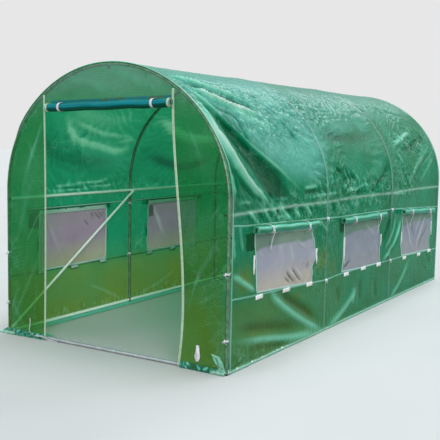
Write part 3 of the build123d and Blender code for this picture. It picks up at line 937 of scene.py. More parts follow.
def net_material(name, tones, open_share):
    """Insect net: pale threads, partly open, in three soft bands from its head down; the head band
    is painted shade, and its creases carry painted shade and highlight.
    """
    material, tree = new_material(name)
    place, uv = coordinates(tree)
    head, body, foot = (colour(*tone) for tone in tones)
    threads = thread_grid(tree, uv, *net_threads)
    cloud = noise(tree, place, 3.0, 3.0)
    down, relief = stored(tree, "shade", "relief")
    # Head band: painted shade under the roll
    shade = mixed(tree, mapped(tree, down, 0.27, 0.32), head, body)
    shade = mixed(tree, mapped(tree, down, 0.55, 0.95), shade, foot)
    shade = mixed(tree, mapped(tree, cloud, 0.3, 0.7, 0.0, 0.12), shade, (1, 1, 1, 1))
    # Creases: painted shade in their hollows, painted highlight on their ridges
    shade = mixed(tree, mapped(tree, relief, -1.0, -0.15, 0.75, 0.0), shade, colour(70, 72, 64))
    shade = mixed(tree, mapped(tree, relief, 0.15, 1.0, 0.0, 0.6), shade, colour(236, 236, 240))
    inputs = {
        "Base Color": shade,
        "Roughness": 0.75,
        "Specular IOR Level": 0.2,
        "Sheen Weight": 0.1,
        "Sheen Tint": colour(235, 235, 245),
        "Normal": bump(tree, threads, 0.0004, 0.6),
    }
    cloth = shader(tree, "BsdfPrincipled", inputs)
    through = shader(tree, "BsdfTranslucent", {"Color": shade})
    open_part = shader(tree, "BsdfTransparent", {"Color": colour(225, 225, 235)})
    openness = mapped(tree, threads, 0.0, 1.0, open_share, open_share / 4)
    lit = mixed_shaders(tree, 0.08, cloth, through)
    return finish_material(material, tree, mixed_shaders(tree, openness, lit, open_part))


def plain_material(
    name, tones, roughness, scale, metallic=0.0, relief=0.0004, sheen=0.0, threads=None
):
    """Steel, hard plastic or webbing: two tones in a noise, with a fine relief."""
    material, tree = new_material(name)
    place, uv = coordinates(tree)
    dark, light = (colour(*tone) for tone in tones)
    cloud = noise(tree, place, scale, 4.0, 0.3)
    speck = noise(tree, place, scale * 9)
    height = speck if threads is None else thread_grid(tree, uv, threads, threads * 0.3)
    inputs = {
        "Base Color": mixed(tree, mapped(tree, cloud, 0.35, 0.65), dark, light),
        "Metallic": metallic,
        "Roughness": mapped(tree, speck, 0.3, 0.7, roughness - 0.06, roughness + 0.08),
        "Sheen Weight": sheen,
        "Normal": bump(tree, height, relief, 0.6),
    }
    return finish_material(material, tree, shader(tree, "BsdfPrincipled", inputs))


film = film_material(
    "green_film", [(0, 116, 80), (22, 146, 116), (16, 168, 108), (70, 190, 140)], 0.16, 0.0060,
    gloss=0.24, haze=0.10,
)
end_film = film_material(
    "end_film", [(40, 120, 72), (84, 156, 108), (44, 170, 96), (160, 232, 184)], 0.70, 0.0012,
    haze=0.3, shine=0.0, top_panel_light=(1.66, 1.92, 0.85),
)
hem_film = film_material(
    "hem_film", [(120, 196, 168), (164, 222, 202), (140, 220, 190), (120, 205, 160)], 0.04, 0.0004
)
# Dark film that paints the window rolls' shadow
roll_shadow_film = film_material(
    "roll_shadow_film", [(0, 84, 44), (4, 100, 58), (4, 96, 48), (40, 140, 90)], 0.0, 0.0008,
    gloss=0.5, haze=0.0, shine=0.0,
)
teal_film = film_material(
    "teal_film", [(18, 104, 92), (70, 160, 140), (60, 170, 130), (90, 190, 150)], 0.15, 0.0010,
    gloss=0.2,
)
tape_film = film_material(
    "tape_film", [(196, 224, 218), (220, 240, 234), (230, 250, 245), (200, 235, 220)], 0.04, 0.0004
)
roll_film = film_material(
    "rolled_film", [(20, 124, 76), (60, 160, 118), (90, 200, 140), (90, 190, 140)], 0.0, 0.0008,
    gloss=0.14,
)
door_film = film_material(
    "rolled_door_film", [(14, 128, 136), (30, 152, 164), (20, 90, 50), (60, 150, 100)], 0.0, 0.0006,
    gloss=0.2, haze=0.3,
)
# The far nets and the left nets are darker copies of the near net, painting their shade; the left
# nets' foot is painted olive light from a lawn seen through them
near_net = net_material("window_net", [(118, 148, 138), (180, 178, 206), (206, 192, 184)], 0.24)
shaded_far_net = net_material("shaded_far_window_net", [(106, 136, 132), (152, 154, 184), (158, 156, 176)], 0.24)
shaded_left_net = net_material(
    "shaded_left_window_net", [(150, 122, 142), (156, 124, 156), (166, 168, 120)], 0.18
)
# Grey steel, darkened and tinted green for the arches: painted shade
shaded_arch_steel = plain_material(
    "shaded_arch_steel", [(62, 98, 72), (98, 138, 106)], 0.38, 34.0, metallic=0.3, relief=0.0003
)
# Pale steel pushed to white for the rails: painted light
lit_rail_steel = plain_material(
    "lit_rail_steel", [(246, 252, 246), (253, 255, 253)], 0.3, 34.0, relief=0.0003
)
bar_steel = plain_material(
    "bar_steel", [(150, 162, 166), (178, 188, 190)], 0.4, 34.0, metallic=0.3, relief=0.0003
)
black_plastic = plain_material("black_plastic", [(22, 24, 24), (38, 40, 40)], 0.45, 20.0)
zip_cloth = plain_material(
    "zip_tape", [(160, 192, 162), (184, 212, 184)], 0.75, 30.0, sheen=0.1, threads=0.0022
)
strap_cloth = plain_material(
    "white_strap", [(206, 206, 218), (230, 230, 238)], 0.7, 30.0, sheen=0.15, threads=0.0020
)
loop_cloth = plain_material(
    "hook_and_loop", [(244, 248, 250), (252, 254, 255)], 0.85, 90.0, relief=0.0008, sheen=0.2
)
zip_teeth = plain_material("zip_teeth", [(184, 204, 178), (210, 222, 200)], 0.4, 60.0)

# CAD nodes that stay, by the ends of their names, with their finishes
finishes = {
    ("_bow", "_leg"): shaded_arch_steel,
    ("_bar",): bar_steel,
    ("_rail", "_brace"): lit_rail_steel,
    ("leg_feet", "rail_end_plugs"): black_plastic,
}
for name, node in nodes.items():
    for endings, finish in finishes.items():
        if name.endswith(endings):
            for material_slot in node.material_slots:
                material_slot.material = finish


# Roof: one film from seam to seam
def roof_film():
    breaks = cover_breaks()
    front_part = spaced(breaks[:5], film_steps["fine"])
    y = np.concatenate([front_part[:-1], spaced(breaks[4:], film_steps["plain"])])
    band, near, ridge = rail_girth + 0.02, rail_girth - 0.02, 0.03
    left_lines = spaced([-band, -rail_girth, -near, -ridge], film_steps["coarse"])
    right_lines = spaced([-ridge, 0, ridge, near, rail_girth, band], film_steps["fine"])
    lines = np.concatenate([left_lines[:-1], right_lines])
    right_edge = girth_at(seam_height(1, "top", y))
    left_edge = -girth_at(seam_height(-1, "top", y))
    left_share = np.linspace(0, 1, 7)[:-1, None]
    right_share = np.linspace(0, 1, 9)[1:, None]
    girth = np.concatenate([
        left_edge[None] * (1 - left_share) - band * left_share,
        np.broadcast_to(lines[:, None], (len(lines), len(y))),
        band * (1 - right_share) + right_edge[None] * right_share,
    ])
    grid = sheet_grid(on_cover(y[None], girth), flip=True)
    replaced = ["crown_sheet", "left_roof_sheet", "right_roof_sheet"]
    piece = add_piece("roof_film", grid, film, replaced)


roof_film()


# Side walls below the top seams, cut through by the windows, with their nets
strip_bands = [8, 34, 3]  # grid rows above, beside and below the windows
strip_counts = {
    1: [26, 64, 18, 40, 64, 18, 40, 64, 24],
    -1: [26, 60, 24, 24, 60, 24, 30, 62, 26],
}


def strip_rows(side, y):
    """Heights of the seam, the windows' heads and sills, and the lower seam at y."""
    head = lookup(window_heads[side], y - front_y)
    sill = lookup(window_sills[side], y - front_y)
    top, bottom = seam_height(side, "top", y), seam_height(side, "bottom", y)
    return top, np.minimum(head, top - 0.03), np.maximum(sill, bottom + 0.004), bottom


def strip_columns(side, share):
    """Distances along the wall of the window edges and arches, at a share of their height."""
    marks = [cover_front - front_y]
    for index, (head, sill) in enumerate(zip(window_heads[side], window_sills[side])):
        bow = np.interp(share, window_edge_shares, right_edge_bows[index]) if side > 0 else 0.0
        marks.append(head[0] * (1 - share) + sill[0] * share + bow)
        if index in (1, 3):
            marks.append((index + 1) / 2 * bay_length)
    return [*marks, cover_rear - front_y]


def wall_strip(side):
    """The film between the seams, on a grid whose lines follow the windows' edges."""
    name, counts = sides[side], strip_counts[side]
    rows = [(band, step / count) for band, count in enumerate(strip_bands) for step in range(count)]
    rows.append((len(strip_bands) - 1, 1.0))
    lines = []
    for band, share in rows:
        marks = strip_columns(side, [0.0, share, 1.0][band])
        runs = [
            np.linspace(start, end, count + 1)[:-1]
            for start, end, count in zip(marks[:-1], marks[1:], counts)
        ]
        y = front_y + np.concatenate([*runs, [marks[-1]]])
        heights = strip_rows(side, y)
        height = heights[band] * (1 - share) + heights[band + 1] * share
        lines.append(np.stack([y, side * girth_at(height)], -1))
    places = np.array(lines)
    points = on_cover(places[..., 0], places[..., 1])
    edges = np.concatenate([[0], np.cumsum(counts)])
    keep = np.ones((len(rows) - 1, edges[-1]), bool)
    openings = [(edges[column], edges[column + 1]) for column in (1, 4, 7)]
    head_row, sill_row = strip_bands[0], sum(strip_bands[:2])
    for first, last in openings:
        keep[head_row:sill_row, first:last] = False
    grid = sheet_grid(points, keep, side > 0)
    strip = add_piece(f"{name}_window_film", grid, film, [f"{name}_window_strip"])
    tapes = []
    for index, (first, last) in enumerate(openings):
        border = points[head_row : sill_row + 1, first : last + 1]
        window_net(side, index, border)
        tapes += window_tape(side, border)
    add_piece(f"{name}_window_tapes", joined(tapes), tape_film)


# Creases of the nets, as (across, down, across, down, width, depth) in shares of the net
net_folds = {
    (1, 0): [(0.54, 0.74, 0.68, 0.96, 0.010, -0.010), (0.58, 0.72, 0.73, 0.96, 0.010, 0.010),
             (0.64, 0.70, 0.80, 0.95, 0.010, -0.010), (0.70, 0.72, 0.84, 0.95, 0.010, 0.006),
             (0.50, 0.84, 0.62, 0.97, 0.010, -0.007), (0.88, 0.60, 0.97, 0.78, 0.030, -0.004),
             (0.58, 0.22, 0.62, 0.58, 0.012, 0.004), (0.0, 0.24, 0.14, 0.42, 0.012, 0.004),
             (0.70, 0.18, 0.86, 0.36, 0.014, 0.004), (0.42, 0.25, 0.46, 0.60, 0.014, 0.003)],
    (1, 1): [(0.02, 0.97, 0.20, 0.82, 0.020, -0.007), (0.0, 0.92, 0.12, 0.80, 0.014, 0.005),
             (0.6, 0.1, 0.9, 0.4, 0.018, 0.003)],
    (1, 2): [(0.12, 0.12, 0.42, 0.92, 0.016, 0.006), (0.80, 0.08, 0.52, 0.92, 0.016, 0.006),
             (0.30, 0.05, 0.46, 0.62, 0.012, -0.006), (0.94, 0.30, 0.60, 0.95, 0.014, -0.005),
             (0.62, 0.05, 0.50, 0.55, 0.014, 0.005)],
    (-1, 0): [(0.70, 0.03, 0.76, 0.13, 0.010, -0.010), (0.78, 0.03, 0.88, 0.20, 0.010, -0.010),
              (0.84, 0.03, 0.93, 0.17, 0.010, -0.010), (0.91, 0.02, 0.96, 0.14, 0.010, -0.010),
              (0.62, 0.18, 0.70, 0.30, 0.012, -0.006), (0.1, 0.1, 0.3, 0.8, 0.03, 0.002)],
    (-1, 1): [(0.1, 0.05, 0.3, 0.7, 0.03, 0.005), (0.8, 0.1, 0.7, 0.9, 0.03, -0.005)],
    (-1, 2): [(0.4, 0.1, 0.2, 0.9, 0.03, 0.006), (0.7, 0.05, 0.9, 0.8, 0.025, -0.005)],
}


def window_net(side, index, border):
    """A net whose edges are the window's own, slack in the middle, with its creases."""
    name = sides[side]
    rows, columns = border.shape[:2]
    down, across = np.meshgrid(np.linspace(0, 1, rows), np.linspace(0, 1, columns), indexing="ij")
    width = np.linalg.norm(border[0, -1] - border[0, 0])
    height = np.linalg.norm(border[-1, 0] - border[0, 0])
    rim = smooth_step(np.minimum.reduce([across, 1 - across, down, 1 - down]) / 0.12)
    hollow = 0.006 * np.sin(math.pi * across) * np.sin(math.pi * down)
    # How far down the net a point is, tilted so that the painted shade band at its head reaches
    # lower at its front edge
    shade = down + 0.10 * across
    across, down = across * width, down * height
    in_metres = np.array([width, height, width, height, 1, 1])
    creased = 2 * rim * straight_folds(across, down, net_folds[side, index] * in_metres)
    small = rim * 0.003 * crumple(across + 3 * index, down, 0.12, 51 + index)
    shade += 0.03 * soft_noise(across, down, 0.12, 57 + index)
    points = border.copy()
    points[..., 0] += side * (creased - hollow + small - 0.0012)
    piece = add_piece(
        f"{name}_net_{index + 1}",
        sheet_grid(points, flip=side > 0),
        shaded_left_net if side < 0 else shaded_far_net if index else near_net,
        [f"{name}_window_nets"],
        shade=shade,
        relief=np.clip(creased / 0.010, -1, 1),
    )


def window_tape(side, border):
    """Pale tape sewn round a window opening, on both faces of the film."""
    upright, level, out = (0, 0, 1), (0, 1, 0), (side, 0, 0)
    edges = [
        # The inner tape at the head is wider and raised, painting light over part of the roll's
        # shadow
        (border[0], upright, 0.022, 0.034, 0.010), (border[-1], upright, 0.012, 0.016, 0.0),
        (border[:, 0], level, 0.012, 0.020, 0.0), (border[:, -1], level, 0.012, 0.020, 0.0),
    ]
    parts = []
    for path, across, width, inner_width, rise in edges:
        inner_path = path + [side * -0.0034, 0, rise]
        parts.append(ribbon(path + [side * 0.0016, 0, 0], across, out, width, strap_thickness))
        parts.append(ribbon(inner_path, across, out, inner_width, strap_thickness))
    return parts


def lower_film(side):
    """The film from the bottom seam to the ground."""
    name = sides[side]
    y = spaced(cover_breaks(), film_steps["wall"])
    share = np.linspace(0, 1, 38)[:, None]
    top = seam_height(side, "bottom", y)[None]
    height = top * (1 - share) + foot_clear * share
    grid = sheet_grid(on_cover(y[None], side * girth_at(height)), flip=side > 0)
    piece = add_piece(f"{name}_lower_film", grid, film, [f"{name}_lower_sheet"])


for side in sides:
    wall_strip(side)
    lower_film(side)


# Hems along the seams and round the cover's ends
def cover_hem(y, girth, width, lift):
    """A raised strip along a line on the cover."""
    steps = np.stack([np.gradient(y), np.gradient(girth)], -1)
    steps /= np.linalg.norm(steps, axis=1)[:, None]
    places = np.linspace(-0.5, 0.5, 5)
    rise = 0.0003 + lift * (1 - np.abs(2 * places) ** 3)
    rows = [
        on_cover(y - steps[:, 1] * width * place, girth + steps[:, 0] * width * place, height)
        for place, height in zip(places, rise)
    ]
    return sheet_grid(np.array(rows), flip=True)


def seam_hems():
    """Hems on the seams, along the ground, and over the front and rear arches."""
    y = spaced([cover_front + 0.001, cover_rear - 0.001], 0.012)
    for side, side_name in sides.items():
        for which in ("top", "bottom"):
            line = cover_hem(y, side * girth_at(seam_height(side, which, y)), hem_width, 0.0022)
            add_piece(f"{side_name}_{which}_seam", line, hem_film)
        foot = cover_hem(y, np.full(len(y), side * girth_at(0.014)), 0.016, 0.0015)
        add_piece(f"{side_name}_foot_hem", foot, hem_film)
    foot_girth = girth_at(foot_clear)
    girth = spaced([-foot_girth, -rail_girth, 0, rail_girth, foot_girth], 0.014)
    rise = np.array([0.0004, 0.0022, 0.0022, 0.0004])
    for name, edge in (("front", cover_front), ("rear", cover_rear)):
        places = edge + np.sign(front_y - edge) * np.linspace(0.0005, hem_width, 4)
        points = on_cover(places[:, None], girth[None], rise[:, None])
        add_piece(f"{name}_edge_hem", sheet_grid(points, flip=edge > 0), hem_film)


seam_hems()


# End walls
end_inset = 0.016
panel_top = crown_top - end_inset - 0.0005

# Creases of the front and rear panels, as (x, z, x, z, width, depth) in metres
front_folds = [
    (-0.94, 0.10, -0.66, 0.62, 0.020, 0.006), (-0.90, 0.70, -0.70, 1.30, 0.030, 0.006),
    (-0.97, 0.30, -0.80, 0.05, 0.016, 0.005), (-0.66, 1.30, -0.80, 1.55, 0.02, 0.004),
    (0.70, 0.50, 0.95, 0.95, 0.022, 0.006), (0.66, 1.60, 0.86, 1.20, 0.030, 0.005),
    (0.72, 0.42, 0.96, 0.56, 0.016, 0.005), (0.86, 0.15, 0.96, 0.05, 0.016, 0.008),
    (0.70, 0.90, 0.90, 1.30, 0.030, -0.004), (-0.40, 1.95, 0.10, 1.85, 0.040, 0.006),
    (0.10, 1.98, 0.45, 1.84, 0.040, 0.006), (-0.50, 1.80, -0.10, 1.90, 0.04, -0.004),
    (-0.78, 0.74, -0.63, 1.00, 0.009, 0.008), (-0.82, 0.35, -0.76, 0.80, 0.008, 0.004),
    (-0.72, 0.10, -0.68, 0.45, 0.009, 0.005), (-0.76, 1.30, -0.62, 1.63, 0.014, 0.010),
    (-0.96, 0.16, -0.86, 0.42, 0.012, 0.006), (-0.86, 1.00, -0.72, 1.45, 0.030, 0.007),
    (0.68, 0.35, 0.80, 0.75, 0.009, 0.006), (0.82, 0.60, 0.96, 0.74, 0.009, 0.007),
    (0.66, 0.98, 0.74, 1.35, 0.008, 0.006), (0.84, 0.98, 0.96, 1.16, 0.010, 0.007),
    (0.62, 1.70, 0.80, 1.38, 0.010, 0.007), (0.74, 0.28, 0.95, 0.36, 0.009, 0.006),
]
rear_folds = [
    (-0.95, 0.05, -0.30, 0.60, 0.04, 0.010), (0.95, 0.05, 0.35, 0.70, 0.04, 0.010),
    (-0.85, 1.50, -0.20, 1.10, 0.05, 0.010), (0.85, 1.45, 0.25, 1.15, 0.05, -0.008),
    (-0.60, 0.90, 0.10, 0.80, 0.05, -0.010), (0.0, 1.95, 0.05, 1.40, 0.05, 0.008),
    (0.50, 0.10, 0.15, 0.45, 0.03, 0.007), (-0.45, 0.06, -0.10, 0.40, 0.03, 0.007),
]


def arch_right(height):
    """Half the width of the tunnel at a height, inside its outer line by the end inset."""
    crown = crown_radius - end_inset
    haunch = haunch_radius - end_inset
    on_crown = np.sqrt(np.maximum(crown**2 - (height - crown_centre) ** 2, 0))
    on_haunch = haunch_x + np.sqrt(np.maximum(haunch**2 - (height - leg_height) ** 2, 0))
    joint = leg_height + haunch * math.sin(quarter_turn)
    below_joint = np.where(height > leg_height, on_haunch, half_width - end_inset)
    return np.where(height > joint, on_crown, below_joint)


def arch_left(height):
    return -arch_right(height)


def zip_x(line, height):
    """A zip's x at a height, on the polynomial through its points."""
    heights, places = zip(*line)
    return np.polyval(np.polyfit(heights, places, len(line) - 1), height)


def left_zip_x(height):
    return zip_x(left_zip_line, height)


def right_zip_x(height):
    return zip_x(right_zip_line, height)


def panel_depth(x, z, creases, seed):
    small = 0.0016 * crumple(x, z, 0.17, seed) + 0.004 * soft_noise(x, z, 0.5, seed + 3)
    return small + straight_folds(x, z, creases)


def end_panel(name, left, right, low, high, seed, columns, rows):
    """A panel between two edges given as functions of the height, which may close at its top."""
    rear = name == "rear"
    out, plane, creases = (1, cover_rear, rear_folds) if rear else (-1, cover_front, front_folds)
    share = np.linspace(0, 1, rows)
    z = low + (high - low) * (np.sin(share * math.pi / 2) if high == panel_top else share)
    start, end = left(z), np.maximum(right(z), left(z) + 0.004)
    x = start[:, None] + (end - start)[:, None] * np.linspace(0, 1, columns)[None]
    z = np.broadcast_to(z[:, None], x.shape)
    from_arch = arch_right(z) - np.abs(x)
    rim = smooth_step(from_arch / 0.08)
    folded = rim * panel_depth(x, z, creases, seed)
    depth = np.maximum(folded, -0.001 - 0.02 * rim)
    rail_near = bell(z - side_rail_z, 0.03) * bell(np.abs(x) - side_rail_x, 0.04)
    depth = np.where(rail_near > 0.2, np.maximum(depth, 0), depth)
    points = np.stack([x, plane + out * depth, z], -1)
    edge = bell(from_arch, 0.10) + bell(z, 0.12)
    crease = np.clip(0.12 + 0.5 * edge + 0.25 * soft_noise(x, z, 0.3, seed + 7), 0, 1)
    piece = add_piece(
        f"{name}_film", sheet_grid(points, flip=rear), end_film, [f"{name}_panel"],
        relief=np.clip(folded / full_panel_relief, -1, 1), crease=crease,
    )


end_panel(
    "front_left", arch_left, lambda z: left_zip_x(z) - half_zip, foot_clear, 1.84,
    seed=61, columns=40, rows=130,
)
end_panel(
    "front_right", lambda z: right_zip_x(z) + half_zip, arch_right, foot_clear, 1.865,
    seed=62, columns=44, rows=130,
)
end_panel(
    "front_top",
    lambda z: np.maximum(left_zip_x(z) + half_zip, arch_left(z)),
    lambda z: np.minimum(right_zip_x(z) - half_zip, arch_right(z)),
    door_head, panel_top, seed=63, columns=90, rows=34,
)
end_panel("rear", arch_left, arch_right, foot_clear, panel_top, seed=64, columns=110, rows=110)


# Ground flaps: the cover's lower edge, folded in flat on the ground
def ground_flap(name, replaced, x_ends, y_ends, feet, seed):
    """A flap over a rectangle, open round the legs' feet, rippled where it is free."""
    gap = tube_radius + 0.0015
    x_marks, y_marks = set(x_ends), set(y_ends)
    for x, y in feet:
        x_marks |= {mark for mark in (x - gap, x + gap) if x_ends[0] < mark < x_ends[1]}
        y_marks |= {mark for mark in (y - gap, y + gap) if y_ends[0] < mark < y_ends[1]}
    xs, ys = spaced(sorted(x_marks), 0.012), spaced(sorted(y_marks), 0.018)
    x, y = np.meshgrid(xs, ys)
    centre_x, centre_y = (xs[:-1] + xs[1:]) / 2, (ys[:-1, None] + ys[1:, None]) / 2
    keep = np.ones((len(ys) - 1, len(xs) - 1), bool)
    for foot_x, foot_y in feet:
        keep &= ~((np.abs(centre_x - foot_x) < gap) & (np.abs(centre_y - foot_y) < gap))
    from_ends = np.minimum(y - (front_y - 0.013), rear_y + 0.013 - y)
    free = smooth_step((np.minimum(half_width - np.abs(x), from_ends) - 0.032) / 0.05)
    z = 0.0012 + free * 0.012 * (0.5 + 0.5 * crumple(x, y, 0.10, seed))
    # The flaps take the pale hem film, painting light on them where the green film would lie in
    # shade
    piece = add_piece(name, sheet_grid(np.stack([x, y, z], -1), keep), hem_film, [replaced])


def ground_flaps():
    width = half_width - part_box("right_ground_flap")[0].x
    inner_x, outer_x = half_width - width, half_width - 0.001
    front, rear = front_y - tube_radius, rear_y + tube_radius
    front_ends = (front, front + width)
    left_zip, right_zip = left_zip_line[0][1] - half_zip, right_zip_line[0][1] + half_zip
    right_feet, left_feet = ([(side * leg_x, place) for place in arch_places] for side in sides)
    flaps = [
        ("right", "right_ground_flap", (inner_x, outer_x), (front, rear), right_feet),
        ("left", "left_ground_flap", (-outer_x, -inner_x), (front, rear), left_feet),
        ("front_left", "end_ground_flaps", (-inner_x, left_zip), front_ends, []),
        ("front_right", "end_ground_flaps", (right_zip, inner_x), front_ends, []),
        ("rear", "end_ground_flaps", (-inner_x, inner_x), (rear - width, rear), []),
    ]
    for index, (name, *rest) in enumerate(flaps):
        ground_flap(f"{name}_ground_film", *rest, 81 + index)


ground_flaps()


# Rolled sheets
def rolled_sheet(start, end, wall, up, spiral, tail, ties, seed, lit_at=1.35):
    """A sheet wound along start to end, as a grid whose rows follow it from its tail in.

    Returns its points, the roll's length, the length of sheet wound up, and how each point of
    the outer turn faces: 1 towards lit_at half turns round the roll, -1 away from it.
    """
    radius, core, turns = spiral
    start, end, wall, up = floats(start, end, wall, up)
    length = np.linalg.norm(end - start)
    along = spaced([0.0, *ties, length], 0.022) / length
    turned = np.linspace(0, 2 * math.pi * turns, int(24 * turns) + 1)
    wound_radius = radius - (radius - core) * turned / turned[-1]
    tail_rise = np.linspace(tail, 0, tail_rows + 1)[:-1]
    toward = np.concatenate([np.full(tail_rows, radius), wound_radius * np.cos(turned)])
    rise = np.concatenate([tail_rise, -wound_radius * np.sin(turned)])
    winding = np.concatenate([np.zeros(tail_rows), turned])
    rows, columns = np.meshgrid(np.arange(len(toward)), np.arange(len(along)), indexing="ij")
    toward, rise, winding, share = toward[rows], rise[rows], winding[rows], along[columns]
    wound = rows >= tail_rows
    wobble = 1 + 0.05 * soft_noise(share * length, winding, 0.11, seed)
    squeeze = 1 - 0.09 * sum(bell(share * length - tie, 0.022) for tie in ties)
    bulk = np.where(wound, wobble * squeeze, 1.0)
    slip = 0.006 * np.sin(winding * 0.8 + seed) * (2 * share - 1)
    centre = start + (end - start) * share[..., None]
    centre = centre + (end - start) / length * slip[..., None]
    sag = np.where(wound, 0.004 * np.sin(3 * math.pi * share) ** 2, 0)
    away = toward * bulk + radius * (1 - bulk)
    points = centre + wall * away[..., None] + up * (rise * bulk - sag)[..., None]
    developed = tail + 2 * math.pi * turns * (radius + core) / 2
    outer = wound & (winding < 2 * math.pi)
    facing = np.where(outer, np.cos(winding - lit_at * math.pi), 0.0)
    return points, length, developed, facing


def spiral_rim(end, inward, wall, up, spiral, width):
    """A tape wound in with the end of a roll."""
    radius, core, turns = spiral
    turned = np.linspace(0, 2 * math.pi * turns, int(20 * turns))
    wound_radius = radius + 0.0004 - (radius - core) * turned / turned[-1]
    outs = wall * np.cos(turned)[:, None] - up * np.sin(turned)[:, None]
    path = end - inward * 0.003 + inward * width / 2 + outs * wound_radius[:, None]
    return ribbon(path, inward, outs, width, 0.0016)


def strap_loop(centre, wall, up, along, radius, top, foot, width):
    """A strap from the wall over the outside of a roll and back to the wall under it."""
    points = [
        centre + wall * (radius * 0.96) + up * top,
        centre + wall * (radius * 0.55) + up * (radius * 1.12),
    ]
    outs = [up, up]
    for angle in np.linspace(math.pi / 2, 3 * math.pi / 2, 15):
        direction = wall * math.cos(angle) + up * math.sin(angle)
        points.append(centre + direction * (radius + 0.001))
        outs.append(direction)
    points.append(centre + wall * (radius * 0.9) - up * foot)
    outs.append(-up)
    return ribbon(points, along, outs, width, 0.0014)


# How light a roll is as it faces away from the light (-1), across it (0) and into it (1)
window_roll_tone = [(-1.0, -0.9), (-0.5, -0.7), (0.0, 0.0), (0.5, 0.2), (0.8, 0.9), (1.0, 1.2)]
door_roll_tone = [(-1.0, -1.2), (-0.12, -1.1), (0.08, 0.0), (1.0, 0.2)]


def window_roll(side, index):
    """A window's rolled flap, sewn on along the top seam; returns its end tapes and its straps."""
    name, radius = sides[side], window_spiral[0]
    middle_y = front_y + bay_length * (index + 0.5) + window_roll_shifts[side]
    ends = []
    for y in (middle_y - window_roll_length / 2, middle_y + window_roll_length / 2):
        z = float(seam_height(side, "top", y)) - window_roll_drop
        depth = float(cover_depth(np.array([y]), np.array([side * girth_at(z)]))[0])
        ends.append(np.array([side * (half_width + film_gap + 0.6 * depth + radius + 0.002), y, z]))
    ties = (window_tie_inset, window_roll_length - window_tie_inset)
    wall, up = np.array([-side, 0, 0]), np.array([0, 0, 1.0])
    seed = 91 + index + (10 if side < 0 else 0)
    points, length, developed, facing = rolled_sheet(
        *ends, wall, up, window_spiral, tail=0.04, ties=ties, seed=seed
    )
    tail_y = points[0, :, 1]
    points[0] = on_cover(tail_y, side * girth_at(seam_height(side, "top", tail_y)), 0.0018)
    for row in range(1, tail_rows):
        share = row / tail_rows
        points[row] = points[0] * (1 - share) + points[tail_rows] * share
    piece = add_piece(
        f"{name}_window_roll_{index + 1}", sheet_grid(points), roll_film, [f"{name}_window_rolls"],
        relief=lookup(window_roll_tone, facing),
    )
    along = (ends[1] - ends[0]) / length
    rims = [
        spiral_rim(end, along * inward, wall, up, window_spiral, 0.006)
        for end, inward in zip(ends, (1, -1))
    ]
    straps = []
    for number, tie in enumerate(ties):
        centre = ends[0] + along * tie
        outer = radius * 0.94 + 0.0006
        strap = strap_loop(centre, wall, up, along, outer, top=0.030, foot=0.026, width=0.010)
        straps.append(strap)
        knot = centre - wall * (outer + 0.004) + up * (0.004 - 0.010 * number)
        straps.append(small_knot(knot, -wall, up, 0.020))
        hang = 0.16 if (index + number) % 2 == 0 else 0.05
        long_end = [
            knot,
            knot - wall * 0.006 - up * 0.020 + along * 0.006,
            knot + wall * 0.012 - up * 0.3 * hang - up * 0.02 + along * 0.010,
            knot + wall * (outer + 0.006) - up * hang + along * 0.004,
        ]
        short_end = [
            knot,
            knot - wall * 0.010 - up * 0.012 - along * 0.012,
            knot - wall * 0.002 - up * 0.034 - along * 0.022,
        ]
        straps += [tail_ribbon(long_end, along, 0.009), tail_ribbon(short_end, along, 0.010)]
    return rims, straps


def door_roll():
    """The rolled door, with its zip tapes wound in at both ends, and its two straps."""
    low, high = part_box("door_roll")
    radius = door_spiral[0]
    y = cover_front - 0.0006 - radius
    start = np.array([low.x + 0.006, y, low.z + radius + 0.003])
    end = np.array([high.x - 0.040, y, high.z - 0.058])
    wall, up = np.array([0, 1.0, 0]), np.array([0, 0, 1.0])
    ties = [x - start[0] for x in door_strap_places]
    points, length, developed, facing = rolled_sheet(
        start, end, wall, up, door_spiral, tail=0.05, ties=ties, seed=131, lit_at=1.45
    )
    piece = add_piece(
        "door_roll_film", sheet_grid(points, flip=True), door_film, ["door_roll"],
        relief=lookup(door_roll_tone, facing),
    )
    along = (end - start) / length
    tapes = [
        spiral_rim(tip, inward, wall, up, door_spiral, zip_width)
        for tip, inward in ((start, along), (end, -along))
    ]
    add_piece("door_roll_tapes", joined(tapes), zip_cloth)
    straps = [
        strap_loop(
            start + along * tie, wall, up, along, radius * 0.93, top=0.033, foot=0.034, width=0.02
        )
        for tie in ties
    ]
    add_piece("door_roll_straps", joined(straps), strap_cloth, ["door_roll_ties"])


window_rims, window_straps = [], []
for side in sides:
    for index in range(3):
        rims, straps = window_roll(side, index)
        window_rims += rims
        window_straps += straps
add_piece("window_roll_straps", joined(window_straps), strap_cloth, ["window_roll_ties"])
add_piece("window_roll_rims", joined(window_rims), hem_film)
door_roll()

# Zips: a woven tape down each side of the doorway, with teeth along its inner edge
box_corners = np.array([[x, y, z] for z in (-1, 1) for y in (-1, 1) for x in (-1, 1)]) / 2
box_faces = np.array(
    [[0, 2, 3, 1], [4, 5, 7, 6], [0, 1, 5, 4], [2, 6, 7, 3], [0, 4, 6, 2], [1, 3, 7, 5]]
)
tooth_size, tooth_pitch = [0.005, 0.0022, 0.0032], 0.006
slider_size, slider_drop = [0.013, 0.007, 0.018], 0.075


